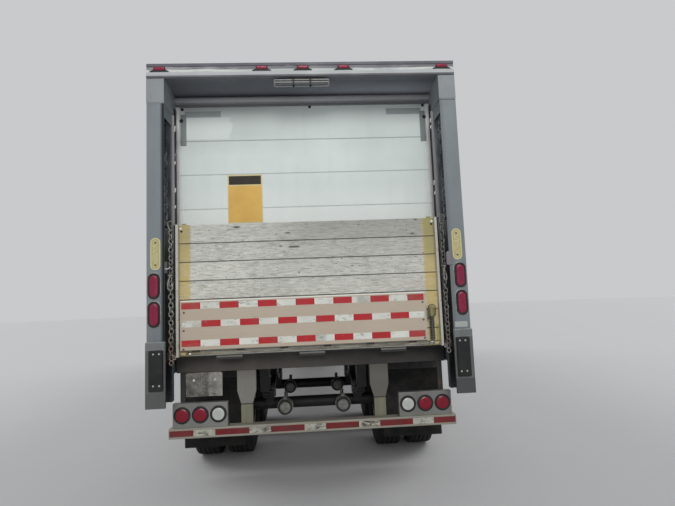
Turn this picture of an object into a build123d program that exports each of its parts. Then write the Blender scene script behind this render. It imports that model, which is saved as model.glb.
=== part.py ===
from build123d import *
import os

# Van semi trailer with a rail lift at its rear. Millimetres: X to the right seen from behind, Y forward, Z up.
# Y is measured forward from the rear face of the lift columns, and save() then centres the trailer on Y.

# Body
BODY_LENGTH = 12192.0
BODY_WIDTH = 2591.0
ROOF_Z = 3670.0
FLOOR_Z = 1295.0
FLOOR_THICK = 35.0
WALL = 50.0
CORNER_RADIUS = 120.0
CORNER_RETURN = 160.0
TOP_RAIL_DEEP = 95.0
ROOF_SHEET = 5.0
BOW_DEEP = 25.0
BOW_WIDE = 40.0
BOW_PITCH = 610.0
BOTTOM_RAIL_BELOW_FLOOR = 165.0
BOTTOM_RAIL_ABOVE_FLOOR = 70.0
RAIL_SKIN = 4.0
RAIL_WEB = 12.0
CROSS_DEEP = 102.0
CROSS_PITCH = 305.0
CROSS_FLANGE = 50.0
CROSS_METAL = 5.0
SUBFLOOR = 3.0

# Rear frame and roll door
POST_DEEP = 170.0
POST_WIDE = 130.5
HEADER_DEEP = 76.0
HEADER_TUBE_R = 26.0
HEADER_TUBE_ABOVE_DOOR = 45.0
DOOR_BELOW_ROOF = 215.0
DOOR_EDGE = 30.0
DOOR_THICK = 28.0
DOOR_SETBACK = 120.0
DOOR_PANEL = 315.0
DOOR_PANELS = 6
DOOR_TOP_PANEL = 318.0
DOOR_GROOVE = 6.0
TRACK_LIP = 15.0
SEAT_GAP = 0.3
SILL_DEEP = 88.0
BOLSTER_BELOW_FLOOR = 205.0
BOLSTER_INSET = 15.0
BOLSTER_SETBACK = 10.0
BOLSTER_THICK = 130.0

# Lift columns, hood and boots
COLUMN_DEPTH = 290.0
COLUMN_WIDE = 140.5
COLUMN_LOW = 870.0
COLUMN_FLANGE = 10.0
COLUMN_WEB = 8.0
COLUMN_BOX = 65.0
SLOT_BELOW_HOOD = 325.0
HOOD_BELOW_ROOF = 130.0
HOOD_SHEET = 8.0
HOOD_LIP_PROUD = 12.0
HOOD_LIP_HIGH = 46.0
HOOD_LEDGE_PROUD = 6.0
HOOD_LEDGE_HIGH = 26.0
BOOT_TOP = 1378.0
BOOT_SIDE = 4.5
BOOT_WIDE = 154.0
BOOT_PROUD = 20.0
PAD_LOW = 1005.0
PAD_TALL = 310.0
PAD_WIDE = 108.0
PAD_INSET = 32.0
PAD_PROUD = 25.0
LATCH_LOW = 1903.0
LATCH_TALL = 115.0
LATCH_WIDE = 27.0
LATCH_ON_FACE = 22.0
LATCH_PROUD = 10.0

# Lamps and plates
OVAL_BEZEL = (97.0, 207.0)
OVAL_LENS = (58.0, 163.0)
OVAL_LAMP_INSET = 58.5
OVAL_LAMP_Z = (1818.0, 1594.0)
BEZEL_THICK = 8.0
LENS_THICK = 6.0
OVAL_PLATE = (80.0, 260.0)
OVAL_PLATE_INSET = 70.5
OVAL_PLATE_Z = 2075.0
PLATE_THICK = 3.0
CLEARANCE_LAMP = (96.0, 34.0)
CLEARANCE_LAMP_THICK = 16.0
CLEARANCE_LAMP_BELOW_ROOF = 51.0
CLEARANCE_LAMP_INSET = 105.5
CLEARANCE_LAMP_PITCH = 345.0
FLOOD_LAMP_X = -13.0
FLOOD_LAMP_WIDE = 463.0
FLOOD_LAMP_DEEP = 80.0
FLOOD_LAMP_TALL = 48.0
FLOOD_LAMP_SETBACK = 10.0
SIDE_LAMP = (100.0, 40.0)
SIDE_LAMP_THICK = 4.0
SIDE_LAMP_BELOW_RAIL_TOP = 60.0

# Rear guard with its lamp pods
GUARD_INSET = 92.5
GUARD_LOW = 565.0
GUARD_TALL = 85.0
GUARD_CLEAR = 27.0
GUARD_THICK = 100.0
UPRIGHT_X = 565.0
UPRIGHT_WIDE = 160.0
UPRIGHT_NARROW = 97.0
UPRIGHT_TAPER_BELOW = (280.0, 170.0)
UPRIGHT_BEHIND_FACE = 55.0
UPRIGHT_THICK = 45.0
UPRIGHT_BRACE_REACH = 420.0
UPRIGHT_BRACE_WIDE = 60.0
POD_INSET = 34.0
POD_WIDE = 451.0
POD_TALL = 198.0
POD_BEHIND_FACE = 5.0
POD_THICK = 60.0
POD_LAMP_R = 54.0
POD_LAMP_PITCH = 148.5
POD_LAMP_RISE = 102.0
LICENCE_INSET = 133.0
LICENCE_WIDE = 304.0
LICENCE_TALL = 168.0
LICENCE_DROP = 32.0
LICENCE_THICK = 4.0

# Bogie
REAR_AXLE = 1800.0
AXLE_SPREAD = 1245.0
BOGIE_RAIL_X = 500.0
BOGIE_RAIL_WIDE = 90.0
BOGIE_RAIL_DEEP = 128.0
BOGIE_OVERHANG = 750.0
BOGIE_CROSS = 100.0
SPRING_REACH = 560.0
SPRING_WIDE = 75.0
SPRING_TIP = 25.0
SPRING_TIP_FLAT = 80.0
SPRING_PACK = 75.0
SPRING_CAMBER = 146.5
HANGER_HALF = 80.0
HANGER_TOP_EXTRA = 60.0
AXLE_TUBE_R = 63.5
SPINDLE_R = 40.0
SPINDLE_END = 130.0
AXLE_SEAT = 30.0
AXLE_SEAT_HALF = 120.0
CHAMBER_R = 78.0
CHAMBER_LONG = 170.0
CHAMBER_X = 320.0
CHAMBER_BACK = 120.0
FLAP_FROM_AXLE = 730.0
FLAP_BAR = 40.0
FLAP_LOW = 260.0
FLAP_WIDE = 593.5
FLAP_THICK = 8.0

# Twin wheels
TYRE_R = 505.0
TYRE_WIDE = 280.0
TREAD_WIDE = 232.0
TYRE_BULGE_R = 400.0
SHOULDER_DROP = 9.0
DUAL_SPACING = 343.0
RIM_R = 280.0
RIM_WIDE = 210.0
RIM_METAL = 16.0
RIM_FLANGE_R = 304.0
RIM_FLANGE_WIDE = 10.0
DISC_METAL = 11.0
DISC_FLAT_R = 172.0
DISC_JOIN = 20.0
HUB_R = 82.0
HUB_CAP_R = 66.0
HUB_CAP_OUT = 185.0
DRUM_R = 215.0
DRUM_METAL = 20.0
DRUM_INNER_END = 285.0
DRUM_WEB = 40.0
BORE_GAP = 0.4

# Front gear
LEG_FROM_FRONT = 3600.0
LEG_X = 850.0
LEG_OUTER = 115.0
LEG_INNER = 95.0
LEG_OUTER_LOW = 550.0
SHOE = 250.0
SHOE_THICK = 15.0
FOOT_TALL = 60.0
FOOT_WIDE = 70.0
LEG_BRACE_REACH = 700.0
LEG_BRACE_TALL = 60.0
LEG_BRACE_WIDE = 50.0
LEG_BRACE_RISE = 90.0
SHAFT_R = 13.0
SHAFT_DROP = 228.0
CRANK_REACH = 270.0
CRANK_ARM = 240.0
COUPLER_HALF = 530.0
COUPLER_THICK = 8.0
COUPLER_FROM_FRONT = (30.0, 1500.0)
KINGPIN_FROM_FRONT = 914.0
KINGPIN_COLLAR_R = 35.7
KINGPIN_NECK_R = 25.4
KINGPIN_SHOULDER = 35.0
KINGPIN_NECK = 32.0
KINGPIN_COLLAR = 17.0
CONNECTOR_PROUD = 60.0
CONNECTOR_X = 250.0
CONNECTOR_PITCH = 190.0
CONNECTOR_R = 38.0

# Lift carriage, which slides down the columns
RUNNER_WIDE = 85.0
RUNNER_DEEP = 150.0
RUNNER_BEHIND_FLANGE = 30.0
RUNNER_BELOW_BEAM = 32.0
RUNNER_ABOVE_CHAIN = 60.0
RUNNER_PAD_TALL = 200.0
RUNNER_PAD_INSET = 10.0
PAD_GAP = 0.5
BEAM_CLEAR = 7.0
BEAM_DEEP = 48.0
BEAM_BELOW_AXIS = 30.0
BEAM_ABOVE_AXIS = 28.0
BEAM_TAB_DEEP = 26.0
BEAM_TAB_X = (-682.0, 0.0, 682.0)
BEAM_TAB_WIDE = 212.0
ARM_SIDE_GAP = 10.0
ARM_LUG_WIDE = 18.0
ARM_LONG = 142.0
CHAIN_FROM_LUG = 20.0
CHAIN_FROM_ARM = 21.0
CHAIN_WIRE = 8.5
CHAIN_WIDE = 31.0
CHAIN_PITCH = 31.0
CHAIN_BELOW_AXIS = 16.0
CHAIN_PAIRS = 17
ANCHOR_PLATE = 10.0
ANCHOR_LOW = 16.0

# Folding platform: inner deck upright on the carriage, outer deck folded against it, ramp folded against that
DECK_COLUMN_GAP = 83.0
DECK_LONG = 1051.0
DECK_SIDE = 21.0
DECK_THICK = 50.0
DECK_SKIN = 16.0
DECK_RIBS = 5
DECK_RIB_WIDE = 30.0
PLANK_PITCH = 152.4
PLANK_TOP_EDGE = 153.0
PLANK_GROOVE = 4.0
PLANK_GROOVE_DEEP = 3.0
FOLD_GAP = 6.0
EDGE_GAP = 3.0
AXIS_BELOW_DECK_TOP = 33.0
HINGE_TUBE_R = 17.0
PLATFORM_PIN_R = 12.0
OUTER_PIN_R = 9.0
LUG_R = 18.0
LUG_SIDE_GAP = 5.0
LUG_WIDE = 15.0
LUG_INSET = 6.0
SIDE_BAR_PROUD = 46.0
SIDE_BAR_BELOW = 12.0
END_RAIL_TALL = 23.0
RAMP_ROD_CLEAR = 7.0
RAMP_AXIS_RISE = 8.0
RAMP_SIDE_GAP = 6.0
RAMP_RIGHT_SPACE = 100.0
RAMP_FOOT = 27.0
RAMP_LONG = 396.0
RAMP_THICK = 22.0
RAMP_ROD_R = 8.0
RAMP_LUG_INSET = 51.0
RAMP_LUG_WIDE = 15.0
RAMP_ROD_OVER = 8.0
RAMP_KNUCKLES = 6
RAMP_KNUCKLE_WIDE = 60.0
RAMP_SPRING_INSET = 62.0
RAMP_SPRING_R = 20.0
RAMP_SPRING_RISE = 14.0
RAMP_SPRING_TALL = 275.0
RAMP_SPRING_FOOT = 24.0

# Places worked out from the sizes above
HALF = BODY_WIDTH / 2
POST_INNER = HALF - POST_WIDE
HOOD_LOW = ROOF_Z - HOOD_BELOW_ROOF
SLOT_TOP = HOOD_LOW - SLOT_BELOW_HOOD
DOOR_TOP = ROOF_Z - DOOR_BELOW_ROOF
DOOR_HALF = POST_INNER - DOOR_EDGE
BOLSTER_LOW = FLOOR_Z - BOLSTER_BELOW_FLOOR
BOTTOM_RAIL_LOW = FLOOR_Z - BOTTOM_RAIL_BELOW_FLOOR
BOOT_HALF = HALF + BOOT_SIDE
FRONT = COLUMN_DEPTH + BODY_LENGTH
POST_FRONT = COLUMN_DEPTH + POST_DEEP
HEADER_REAR = POST_FRONT - HEADER_DEEP
FLOOR_LOW = FLOOR_Z - FLOOR_THICK
CROSS_LOW = FLOOR_LOW - CROSS_DEEP
ROOF_LOW = ROOF_Z - ROOF_SHEET
TOP_RAIL_LOW = ROOF_LOW - TOP_RAIL_DEEP
BOTTOM_RAIL_HIGH = FLOOR_Z + BOTTOM_RAIL_ABOVE_FLOOR
WALL_OUTER = HALF - RAIL_SKIN
WALL_INNER = WALL_OUTER - WALL
SIDE_FRONT = FRONT - CORNER_RETURN
COLUMN_INNER = HALF - COLUMN_WIDE
COLUMN_BOX_REAR = COLUMN_DEPTH - COLUMN_BOX
DOOR_FACE = COLUMN_DEPTH + DOOR_SETBACK
SILL_LOW = FLOOR_Z - SILL_DEEP
GUARD_HIGH = GUARD_LOW + GUARD_TALL
GUARD_HALF = HALF - GUARD_INSET
BOGIE_RAIL_LOW = CROSS_LOW - BOGIE_RAIL_DEEP
FRONT_AXLE = REAR_AXLE + AXLE_SPREAD
DUAL_X = HALF - TYRE_WIDE / 2 - DUAL_SPACING / 2
SPRING_SEAT_Z = TYRE_R + AXLE_TUBE_R + AXLE_SEAT
HANGER_LOW = SPRING_SEAT_Z + SPRING_CAMBER
LEG_Y = FRONT - LEG_FROM_FRONT
KINGPIN_Y = FRONT - KINGPIN_FROM_FRONT
COUPLER_LOW = CROSS_LOW - COUPLER_THICK
BEAM_Y = (COLUMN_BOX_REAR - BEAM_CLEAR - BEAM_DEEP, COLUMN_BOX_REAR - BEAM_CLEAR)
GUARD_REAR = BEAM_Y[1] + GUARD_CLEAR
INNER_DECK_FRONT = BEAM_Y[0] - FOLD_GAP
OUTER_DECK_FRONT = INNER_DECK_FRONT - DECK_THICK - FOLD_GAP
OUTER_DECK_REAR = OUTER_DECK_FRONT - DECK_THICK
RAMP_FRONT = OUTER_DECK_REAR - FOLD_GAP
DECK_HALF = COLUMN_INNER - DECK_COLUMN_GAP
DECK_INNER_HALF = DECK_HALF - DECK_SIDE
PLATFORM_AXIS = (INNER_DECK_FRONT - AXIS_BELOW_DECK_TOP, FLOOR_Z - AXIS_BELOW_DECK_TOP)
OUTER_AXIS = (OUTER_DECK_FRONT + FOLD_GAP / 2, PLATFORM_AXIS[1] + DECK_LONG)
DECK_TOP_EDGE = OUTER_AXIS[1] - EDGE_GAP
INNER_LUG_X = (DECK_INNER_HALF - LUG_INSET - LUG_WIDE, DECK_INNER_HALF - LUG_INSET)
OUTER_LUG_X = (INNER_LUG_X[0] - LUG_SIDE_GAP - LUG_WIDE, INNER_LUG_X[0] - LUG_SIDE_GAP)
BEAM_Z = (PLATFORM_AXIS[1] - BEAM_BELOW_AXIS, PLATFORM_AXIS[1] + BEAM_ABOVE_AXIS)
ARM_INNER = DECK_HALF + ARM_SIDE_GAP
ARM_RELIEF_X = ARM_INNER + ARM_LUG_WIDE
ARM_REAR = BEAM_Y[1] - ARM_LONG
CHAIN_X = ARM_RELIEF_X + CHAIN_FROM_LUG
CHAIN_Y = ARM_REAR - CHAIN_FROM_ARM
CHAIN_BOTTOM = PLATFORM_AXIS[1] - CHAIN_BELOW_AXIS
CHAIN_TOP = CHAIN_BOTTOM + CHAIN_PAIRS * 2 * CHAIN_PITCH
RUNNER_X = (POST_INNER, POST_INNER + RUNNER_WIDE)
RUNNER_REAR = COLUMN_FLANGE + RUNNER_BEHIND_FLANGE
RUNNER_Z = (BEAM_Z[0] - RUNNER_BELOW_BEAM, CHAIN_TOP + RUNNER_ABOVE_CHAIN)
END_RAIL_Z = (PLATFORM_AXIS[1], PLATFORM_AXIS[1] + END_RAIL_TALL)
RAMP_AXIS = (RAMP_FRONT + FOLD_GAP / 2, END_RAIL_Z[0] + RAMP_AXIS_RISE)
END_RAIL_REAR = RAMP_AXIS[0] + RAMP_ROD_R + RAMP_ROD_CLEAR
RAMP_X = (RAMP_SIDE_GAP - DECK_INNER_HALF, DECK_INNER_HALF - RAMP_SIDE_GAP - RAMP_RIGHT_SPACE)
RAMP_Z = (RAMP_AXIS[1] + RAMP_FOOT, RAMP_AXIS[1] + RAMP_FOOT + RAMP_LONG)
RAMP_LUG_X = (DECK_INNER_HALF - RAMP_LUG_INSET - RAMP_LUG_WIDE, DECK_INNER_HALF - RAMP_LUG_INSET)
POD_X = (GUARD_HALF - POD_INSET - POD_WIDE, GUARD_HALF - POD_INSET)
REARMOST = -(BOOT_PROUD + PAD_PROUD)
CENTRE_Y = (FRONT + CONNECTOR_PROUD + REARMOST) / 2


def block(x, y, z):
    """Box given by its low and high ends along each axis."""
    size = (x[1] - x[0], y[1] - y[0], z[1] - z[0])
    middle = Pos((x[0] + x[1]) / 2, (y[0] + y[1]) / 2, (z[0] + z[1]) / 2)
    return middle * Box(*size)


def rod_x(x, y, z, radius):
    return Pos((x[0] + x[1]) / 2, y, z) * Rot(0, 90, 0) * Cylinder(radius, x[1] - x[0])


def rod_y(x, y, z, radius):
    return Pos(x, (y[0] + y[1]) / 2, z) * Rot(90, 0, 0) * Cylinder(radius, y[1] - y[0])


def rod_z(x, y, z, radius):
    return Pos(x, y, (z[0] + z[1]) / 2) * Cylinder(radius, z[1] - z[0])


def outline(points):
    return make_face(Polyline(*points, close=True))


def side_profile(points, x):
    """Outline of (Y, Z) points, extruded along X."""
    return Pos(x[0], 0, 0) * extrude(Plane.YZ * outline(points), x[1] - x[0])


def rear_profile(points, y):
    """Outline of (X, Z) points, extruded along Y."""
    return Pos(0, y[1], 0) * extrude(Plane.XZ * outline(points), y[1] - y[0])


def right_and_left(shape):
    """The shape made for +X, with its mirror image."""
    return [shape, mirror(shape, about=Plane.YZ)]


def oval(size, x, y, z):
    """Upright oval plate with round ends."""
    width, height = size
    face = Plane.XZ * SlotOverall(height, width, rotation=90)
    return Pos(x, y[1], z) * extrude(face, y[1] - y[0])


def save(name, *shapes):
    solids = [solid for shape in shapes for solid in shape.solids()]
    placed = [Pos(0, -CENTRE_Y, 0) * solid for solid in solids]
    export_step(Compound(children=placed), f"parts/{name}.step")


# Body shell
def nose(inset):
    """Plan of the body's front end, drawn in by inset, with its two rounded corners."""
    x = HALF - inset
    y = FRONT - inset
    face = outline([(-x, SIDE_FRONT), (x, SIDE_FRONT), (x, y), (-x, y)])
    corners = face.vertices().group_by(Axis.Y)[-1]
    return fillet(corners, CORNER_RADIUS - inset)


def nose_wall(outer, inner, z):
    """Wall of the front end between two insets."""
    plan = nose(outer) - nose(inner)
    return Pos(0, 0, z[0]) * extrude(plan, z[1] - z[0])


def body_shell():
    wall_z = (FLOOR_Z, TOP_RAIL_LOW)
    wall_y = (POST_FRONT, SIDE_FRONT)
    wall = block((WALL_INNER, WALL_OUTER), wall_y, wall_z)
    save("side_wall_right", wall)
    save("side_wall_left", mirror(wall, about=Plane.YZ))
    front = nose_wall(RAIL_SKIN, RAIL_SKIN + WALL, wall_z)
    middle = block((-HALF + CORNER_RETURN, HALF - CORNER_RETURN), (SIDE_FRONT, FRONT), wall_z)
    save("front_wall", front & middle)
    save("front_corners", front - middle)

    skin = block((WALL_OUTER, HALF), wall_y, (BOTTOM_RAIL_LOW, BOTTOM_RAIL_HIGH))
    web = block((HALF - RAIL_WEB, HALF), wall_y, (BOTTOM_RAIL_LOW, FLOOR_Z))
    save("bottom_rails", *right_and_left(skin + web))
    front_skin = nose_wall(0, RAIL_SKIN, (BOTTOM_RAIL_LOW, BOTTOM_RAIL_HIGH))
    front_web = nose_wall(0, RAIL_WEB, (BOTTOM_RAIL_LOW, FLOOR_Z))
    save("front_bottom_rail", front_skin + front_web)

    rail_z = (TOP_RAIL_LOW, ROOF_LOW)
    save("top_rails", *right_and_left(block((WALL_INNER, HALF), wall_y, rail_z)))
    save("front_top_rail", nose_wall(0, RAIL_SKIN + WALL, rail_z))

    sheet = Pos(0, 0, ROOF_LOW) * extrude(nose(0), ROOF_SHEET)
    sheet += block((-HALF, HALF), (HEADER_REAR, SIDE_FRONT), (ROOF_LOW, ROOF_Z))
    bows = int((SIDE_FRONT - POST_FRONT - BOW_WIDE) // BOW_PITCH)
    for number in range(1, bows + 1):
        y = POST_FRONT + number * BOW_PITCH
        sheet += block((-WALL_INNER, WALL_INNER), (y, y + BOW_WIDE), (ROOF_LOW - BOW_DEEP, ROOF_LOW))
    save("roof_panel", sheet)


def floor():
    floor_half = HALF - RAIL_WEB
    floor_y = (POST_FRONT, SIDE_FRONT)
    save("floor_deck", block((-floor_half, floor_half), floor_y, (FLOOR_LOW, FLOOR_Z)))
    count = int((SIDE_FRONT - POST_FRONT - CROSS_PITCH / 2) // CROSS_PITCH) + 1
    under = FLOOR_LOW - SUBFLOOR
    points = [(floor_y[1], FLOOR_LOW), (floor_y[0], FLOOR_LOW), (floor_y[0], under)]
    for number in range(count):
        y = POST_FRONT + CROSS_PITCH / 2 + number * CROSS_PITCH
        web = CROSS_METAL / 2
        flange = CROSS_FLANGE / 2
        points += [(y - web, under), (y - web, CROSS_LOW + CROSS_METAL)]
        points += [(y - flange, CROSS_LOW + CROSS_METAL), (y - flange, CROSS_LOW)]
        points += [(y + flange, CROSS_LOW), (y + flange, CROSS_LOW + CROSS_METAL)]
        points += [(y + web, CROSS_LOW + CROSS_METAL), (y + web, under)]
    points.append((floor_y[1], under))
    save("crossmembers", side_profile(points, (-floor_half, floor_half)))


# Rear frame and door
def rear_frame():
    post = block((POST_INNER, HALF), (COLUMN_DEPTH, POST_FRONT), (BOLSTER_LOW, HOOD_LOW))
    save("rear_posts", *right_and_left(post))
    header = block((-HALF, HALF), (HEADER_REAR, POST_FRONT), (HOOD_LOW, ROOF_LOW))
    header += block((-POST_INNER, POST_INNER), (HEADER_REAR, POST_FRONT), (DOOR_TOP, HOOD_LOW))
    tube_y = HEADER_REAR - HEADER_TUBE_R + EDGE_GAP
    header += rod_x((-POST_INNER, POST_INNER), tube_y, DOOR_TOP + HEADER_TUBE_ABOVE_DOOR, HEADER_TUBE_R)
    save("rear_header", header)
    sill = block((-POST_INNER, POST_INNER), (COLUMN_DEPTH, POST_FRONT), (SILL_LOW, FLOOR_Z))
    bolster_rear = COLUMN_DEPTH + BOLSTER_SETBACK
    bolster_y = (bolster_rear, bolster_rear + BOLSTER_THICK)
    bolster_half = POST_INNER - BOLSTER_INSET
    sill += block((-bolster_half, bolster_half), bolster_y, (BOLSTER_LOW, SILL_LOW))
    save("rear_sill", sill)


def roll_door():
    door_y = (DOOR_FACE, DOOR_FACE + DOOR_THICK)
    door = block((-DOOR_HALF, DOOR_HALF), door_y, (FLOOR_Z, DOOR_TOP))
    for number in range(DOOR_PANELS):
        seam = DOOR_TOP - DOOR_TOP_PANEL - number * DOOR_PANEL
        groove = [(DOOR_FACE, seam - DOOR_GROOVE), (DOOR_FACE + DOOR_GROOVE, seam), (DOOR_FACE, seam + DOOR_GROOVE)]
        door -= side_profile(groove, (-DOOR_HALF, DOOR_HALF))
    save("roll_door", door)
    track = block((DOOR_HALF + SEAT_GAP, POST_INNER), (DOOR_FACE - TRACK_LIP, POST_FRONT), (FLOOR_Z, DOOR_TOP))
    save("door_tracks", *right_and_left(track))


# Lift columns and what is fixed to them
def columns():
    column_z = (COLUMN_LOW, HOOD_LOW)
    column = block((COLUMN_INNER, HALF), (0, COLUMN_FLANGE), column_z)
    column += block((HALF - COLUMN_WEB, HALF), (0, COLUMN_DEPTH), column_z)
    column += block((POST_INNER, HALF), (COLUMN_BOX_REAR, COLUMN_DEPTH), column_z)
    closing_x = (COLUMN_INNER, COLUMN_INNER + COLUMN_WEB)
    column += block(closing_x, (0, COLUMN_BOX_REAR), (SLOT_TOP, HOOD_LOW))
    column += block((COLUMN_INNER, HALF), (COLUMN_BOX_REAR - COLUMN_WEB, COLUMN_BOX_REAR), (SLOT_TOP, HOOD_LOW))
    save("lift_columns", *right_and_left(column))

    boot = block((BOOT_HALF - BOOT_WIDE, BOOT_HALF), (-BOOT_PROUD, 0), (COLUMN_LOW, BOOT_TOP))
    boot += block((HALF, BOOT_HALF), (-BOOT_PROUD, COLUMN_BOX_REAR), (COLUMN_LOW, BOOT_TOP))
    save("column_boots", *right_and_left(boot))
    pad_x = (BOOT_HALF - PAD_INSET - PAD_WIDE, BOOT_HALF - PAD_INSET)
    pad = block(pad_x, (REARMOST, -BOOT_PROUD), (PAD_LOW, PAD_LOW + PAD_TALL))
    save("dock_pads", *right_and_left(pad))
    latch_x = (COLUMN_INNER - LATCH_WIDE, COLUMN_INNER)
    latch_z = (LATCH_LOW, LATCH_LOW + LATCH_TALL)
    latch = block(latch_x, (-LATCH_PROUD, COLUMN_FLANGE), latch_z)
    latch += block((latch_x[0], COLUMN_INNER + LATCH_ON_FACE), (-LATCH_PROUD, 0), latch_z)
    save("platform_latches", *right_and_left(latch))
    plate = oval(OVAL_PLATE, HALF - OVAL_PLATE_INSET, (-PLATE_THICK, 0), OVAL_PLATE_Z)
    save("oval_plates", *right_and_left(plate))


def hood():
    hood_y = (0, HEADER_REAR)
    shell = block((-HALF, HALF), hood_y, (HOOD_LOW, ROOF_LOW))
    inside_x = (-HALF + HOOD_SHEET, HALF - HOOD_SHEET)
    shell -= block(inside_x, (HOOD_SHEET, HEADER_REAR), (HOOD_LOW + HOOD_SHEET, ROOF_LOW - HOOD_SHEET))
    lip_z = (HOOD_LOW, HOOD_LOW + HOOD_LIP_HIGH)
    shell += block((-HALF, HALF), (-HOOD_LIP_PROUD, 0), lip_z)
    ledge_z = (ROOF_LOW - HOOD_LEDGE_HIGH, ROOF_LOW)
    shell += block((-HALF, HALF), (-HOOD_LEDGE_PROUD, 0), ledge_z)
    save("rear_hood", shell)
    lamp_x = (FLOOD_LAMP_X - FLOOD_LAMP_WIDE / 2, FLOOD_LAMP_X + FLOOD_LAMP_WIDE / 2)
    lamp_y = (FLOOD_LAMP_SETBACK, FLOOD_LAMP_SETBACK + FLOOD_LAMP_DEEP)
    save("flood_lamp", block(lamp_x, lamp_y, (HOOD_LOW - FLOOD_LAMP_TALL, HOOD_LOW)))


def lamps():
    bezels = []
    red = []
    lamp_x = HALF - OVAL_LAMP_INSET
    for z in OVAL_LAMP_Z:
        bezels += right_and_left(oval(OVAL_BEZEL, lamp_x, (-BEZEL_THICK, 0), z))
        lens_y = (-BEZEL_THICK - LENS_THICK, -BEZEL_THICK)
        red += right_and_left(oval(OVAL_LENS, lamp_x, lens_y, z))
    save("lamp_bezels", *bezels)
    wide, tall = CLEARANCE_LAMP
    middle = ROOF_Z - CLEARANCE_LAMP_BELOW_ROOF
    lamp_z = (middle - tall / 2, middle + tall / 2)
    outermost = HALF - CLEARANCE_LAMP_INSET
    for x in (-outermost, -CLEARANCE_LAMP_PITCH, 0, CLEARANCE_LAMP_PITCH, outermost):
        red.append(block((x - wide / 2, x + wide / 2), (-CLEARANCE_LAMP_THICK, 0), lamp_z))
    pod_lens_y = (GUARD_REAR + POD_BEHIND_FACE - LENS_THICK, GUARD_REAR + POD_BEHIND_FACE)
    middle_x = (POD_X[0] + POD_X[1]) / 2
    pod_z = GUARD_HIGH + POD_LAMP_RISE
    round_lamps = [rod_y(middle_x + step * POD_LAMP_PITCH, pod_lens_y, pod_z, POD_LAMP_R) for step in (-1, 0, 1)]
    for lamp in round_lamps[1:]:
        red += right_and_left(lamp)
    save("red_lenses", *red)
    save("white_lenses", *right_and_left(round_lamps[0]))

    long, high = SIDE_LAMP
    high_z = BOTTOM_RAIL_HIGH - SIDE_LAMP_BELOW_RAIL_TOP
    amber = []
    for y in (POST_FRONT + (SIDE_FRONT - POST_FRONT) / 2, SIDE_FRONT - long):
        side = block((HALF, HALF + SIDE_LAMP_THICK), (y - long / 2, y + long / 2), (high_z - high / 2, high_z + high / 2))
        amber += right_and_left(side)
    top_z = (TOP_RAIL_LOW + TOP_RAIL_DEEP / 2 - high / 2, TOP_RAIL_LOW + TOP_RAIL_DEEP / 2 + high / 2)
    for x in (HALF - CORNER_RETURN - long / 2, CLEARANCE_LAMP_PITCH):
        amber += right_and_left(block((x - long / 2, x + long / 2), (FRONT, FRONT + SIDE_LAMP_THICK), top_z))
    save("amber_lenses", *amber)


# Rear guard
def guard():
    bar_y = (GUARD_REAR, GUARD_REAR + GUARD_THICK)
    save("guard_bar", block((-GUARD_HALF, GUARD_HALF), bar_y, (GUARD_LOW, GUARD_HIGH)))
    wide = UPRIGHT_WIDE / 2
    narrow = UPRIGHT_NARROW / 2
    low, high = [BOLSTER_LOW - drop for drop in UPRIGHT_TAPER_BELOW]
    half = [(narrow, GUARD_HIGH), (narrow, low), (wide, high), (wide, BOLSTER_LOW)]
    other = [(-x, z) for x, z in reversed(half)]
    shape = [(UPRIGHT_X + x, z) for x, z in half + other]
    upright_rear = GUARD_REAR + UPRIGHT_BEHIND_FACE
    upright_y = (upright_rear, upright_rear + UPRIGHT_THICK)
    upright = rear_profile(shape, upright_y)
    y = upright_y[1]
    brace_x = (UPRIGHT_X - UPRIGHT_BRACE_WIDE / 2, UPRIGHT_X + UPRIGHT_BRACE_WIDE / 2)
    brace = [(y, low), (y, low + UPRIGHT_BRACE_WIDE), (y + UPRIGHT_BRACE_REACH, CROSS_LOW)]
    brace.append((y + UPRIGHT_BRACE_REACH + UPRIGHT_BRACE_WIDE, CROSS_LOW))
    save("guard_uprights", *right_and_left(upright + side_profile(brace, brace_x)))

    pod_rear = GUARD_REAR + POD_BEHIND_FACE
    pod = block(POD_X, (pod_rear, pod_rear + POD_THICK), (GUARD_HIGH, GUARD_HIGH + POD_TALL))
    save("lamp_pods", *right_and_left(pod))
    licence_y = (upright_rear, upright_rear + LICENCE_THICK)
    licence_x = (LICENCE_INSET - GUARD_HALF, LICENCE_INSET - GUARD_HALF + LICENCE_WIDE)
    licence_top = BOLSTER_LOW - LICENCE_DROP
    licence = block(licence_x, licence_y, (licence_top - LICENCE_TALL, licence_top))
    middle = sum(licence_x) / 2
    strap_x = (middle - UPRIGHT_NARROW / 2, middle + UPRIGHT_NARROW / 2)
    strap_y = (licence_y[1], licence_y[1] + LICENCE_THICK)
    licence += block(strap_x, strap_y, (licence_top - LICENCE_TALL, BOLSTER_LOW))
    save("licence_plate", licence)


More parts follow.
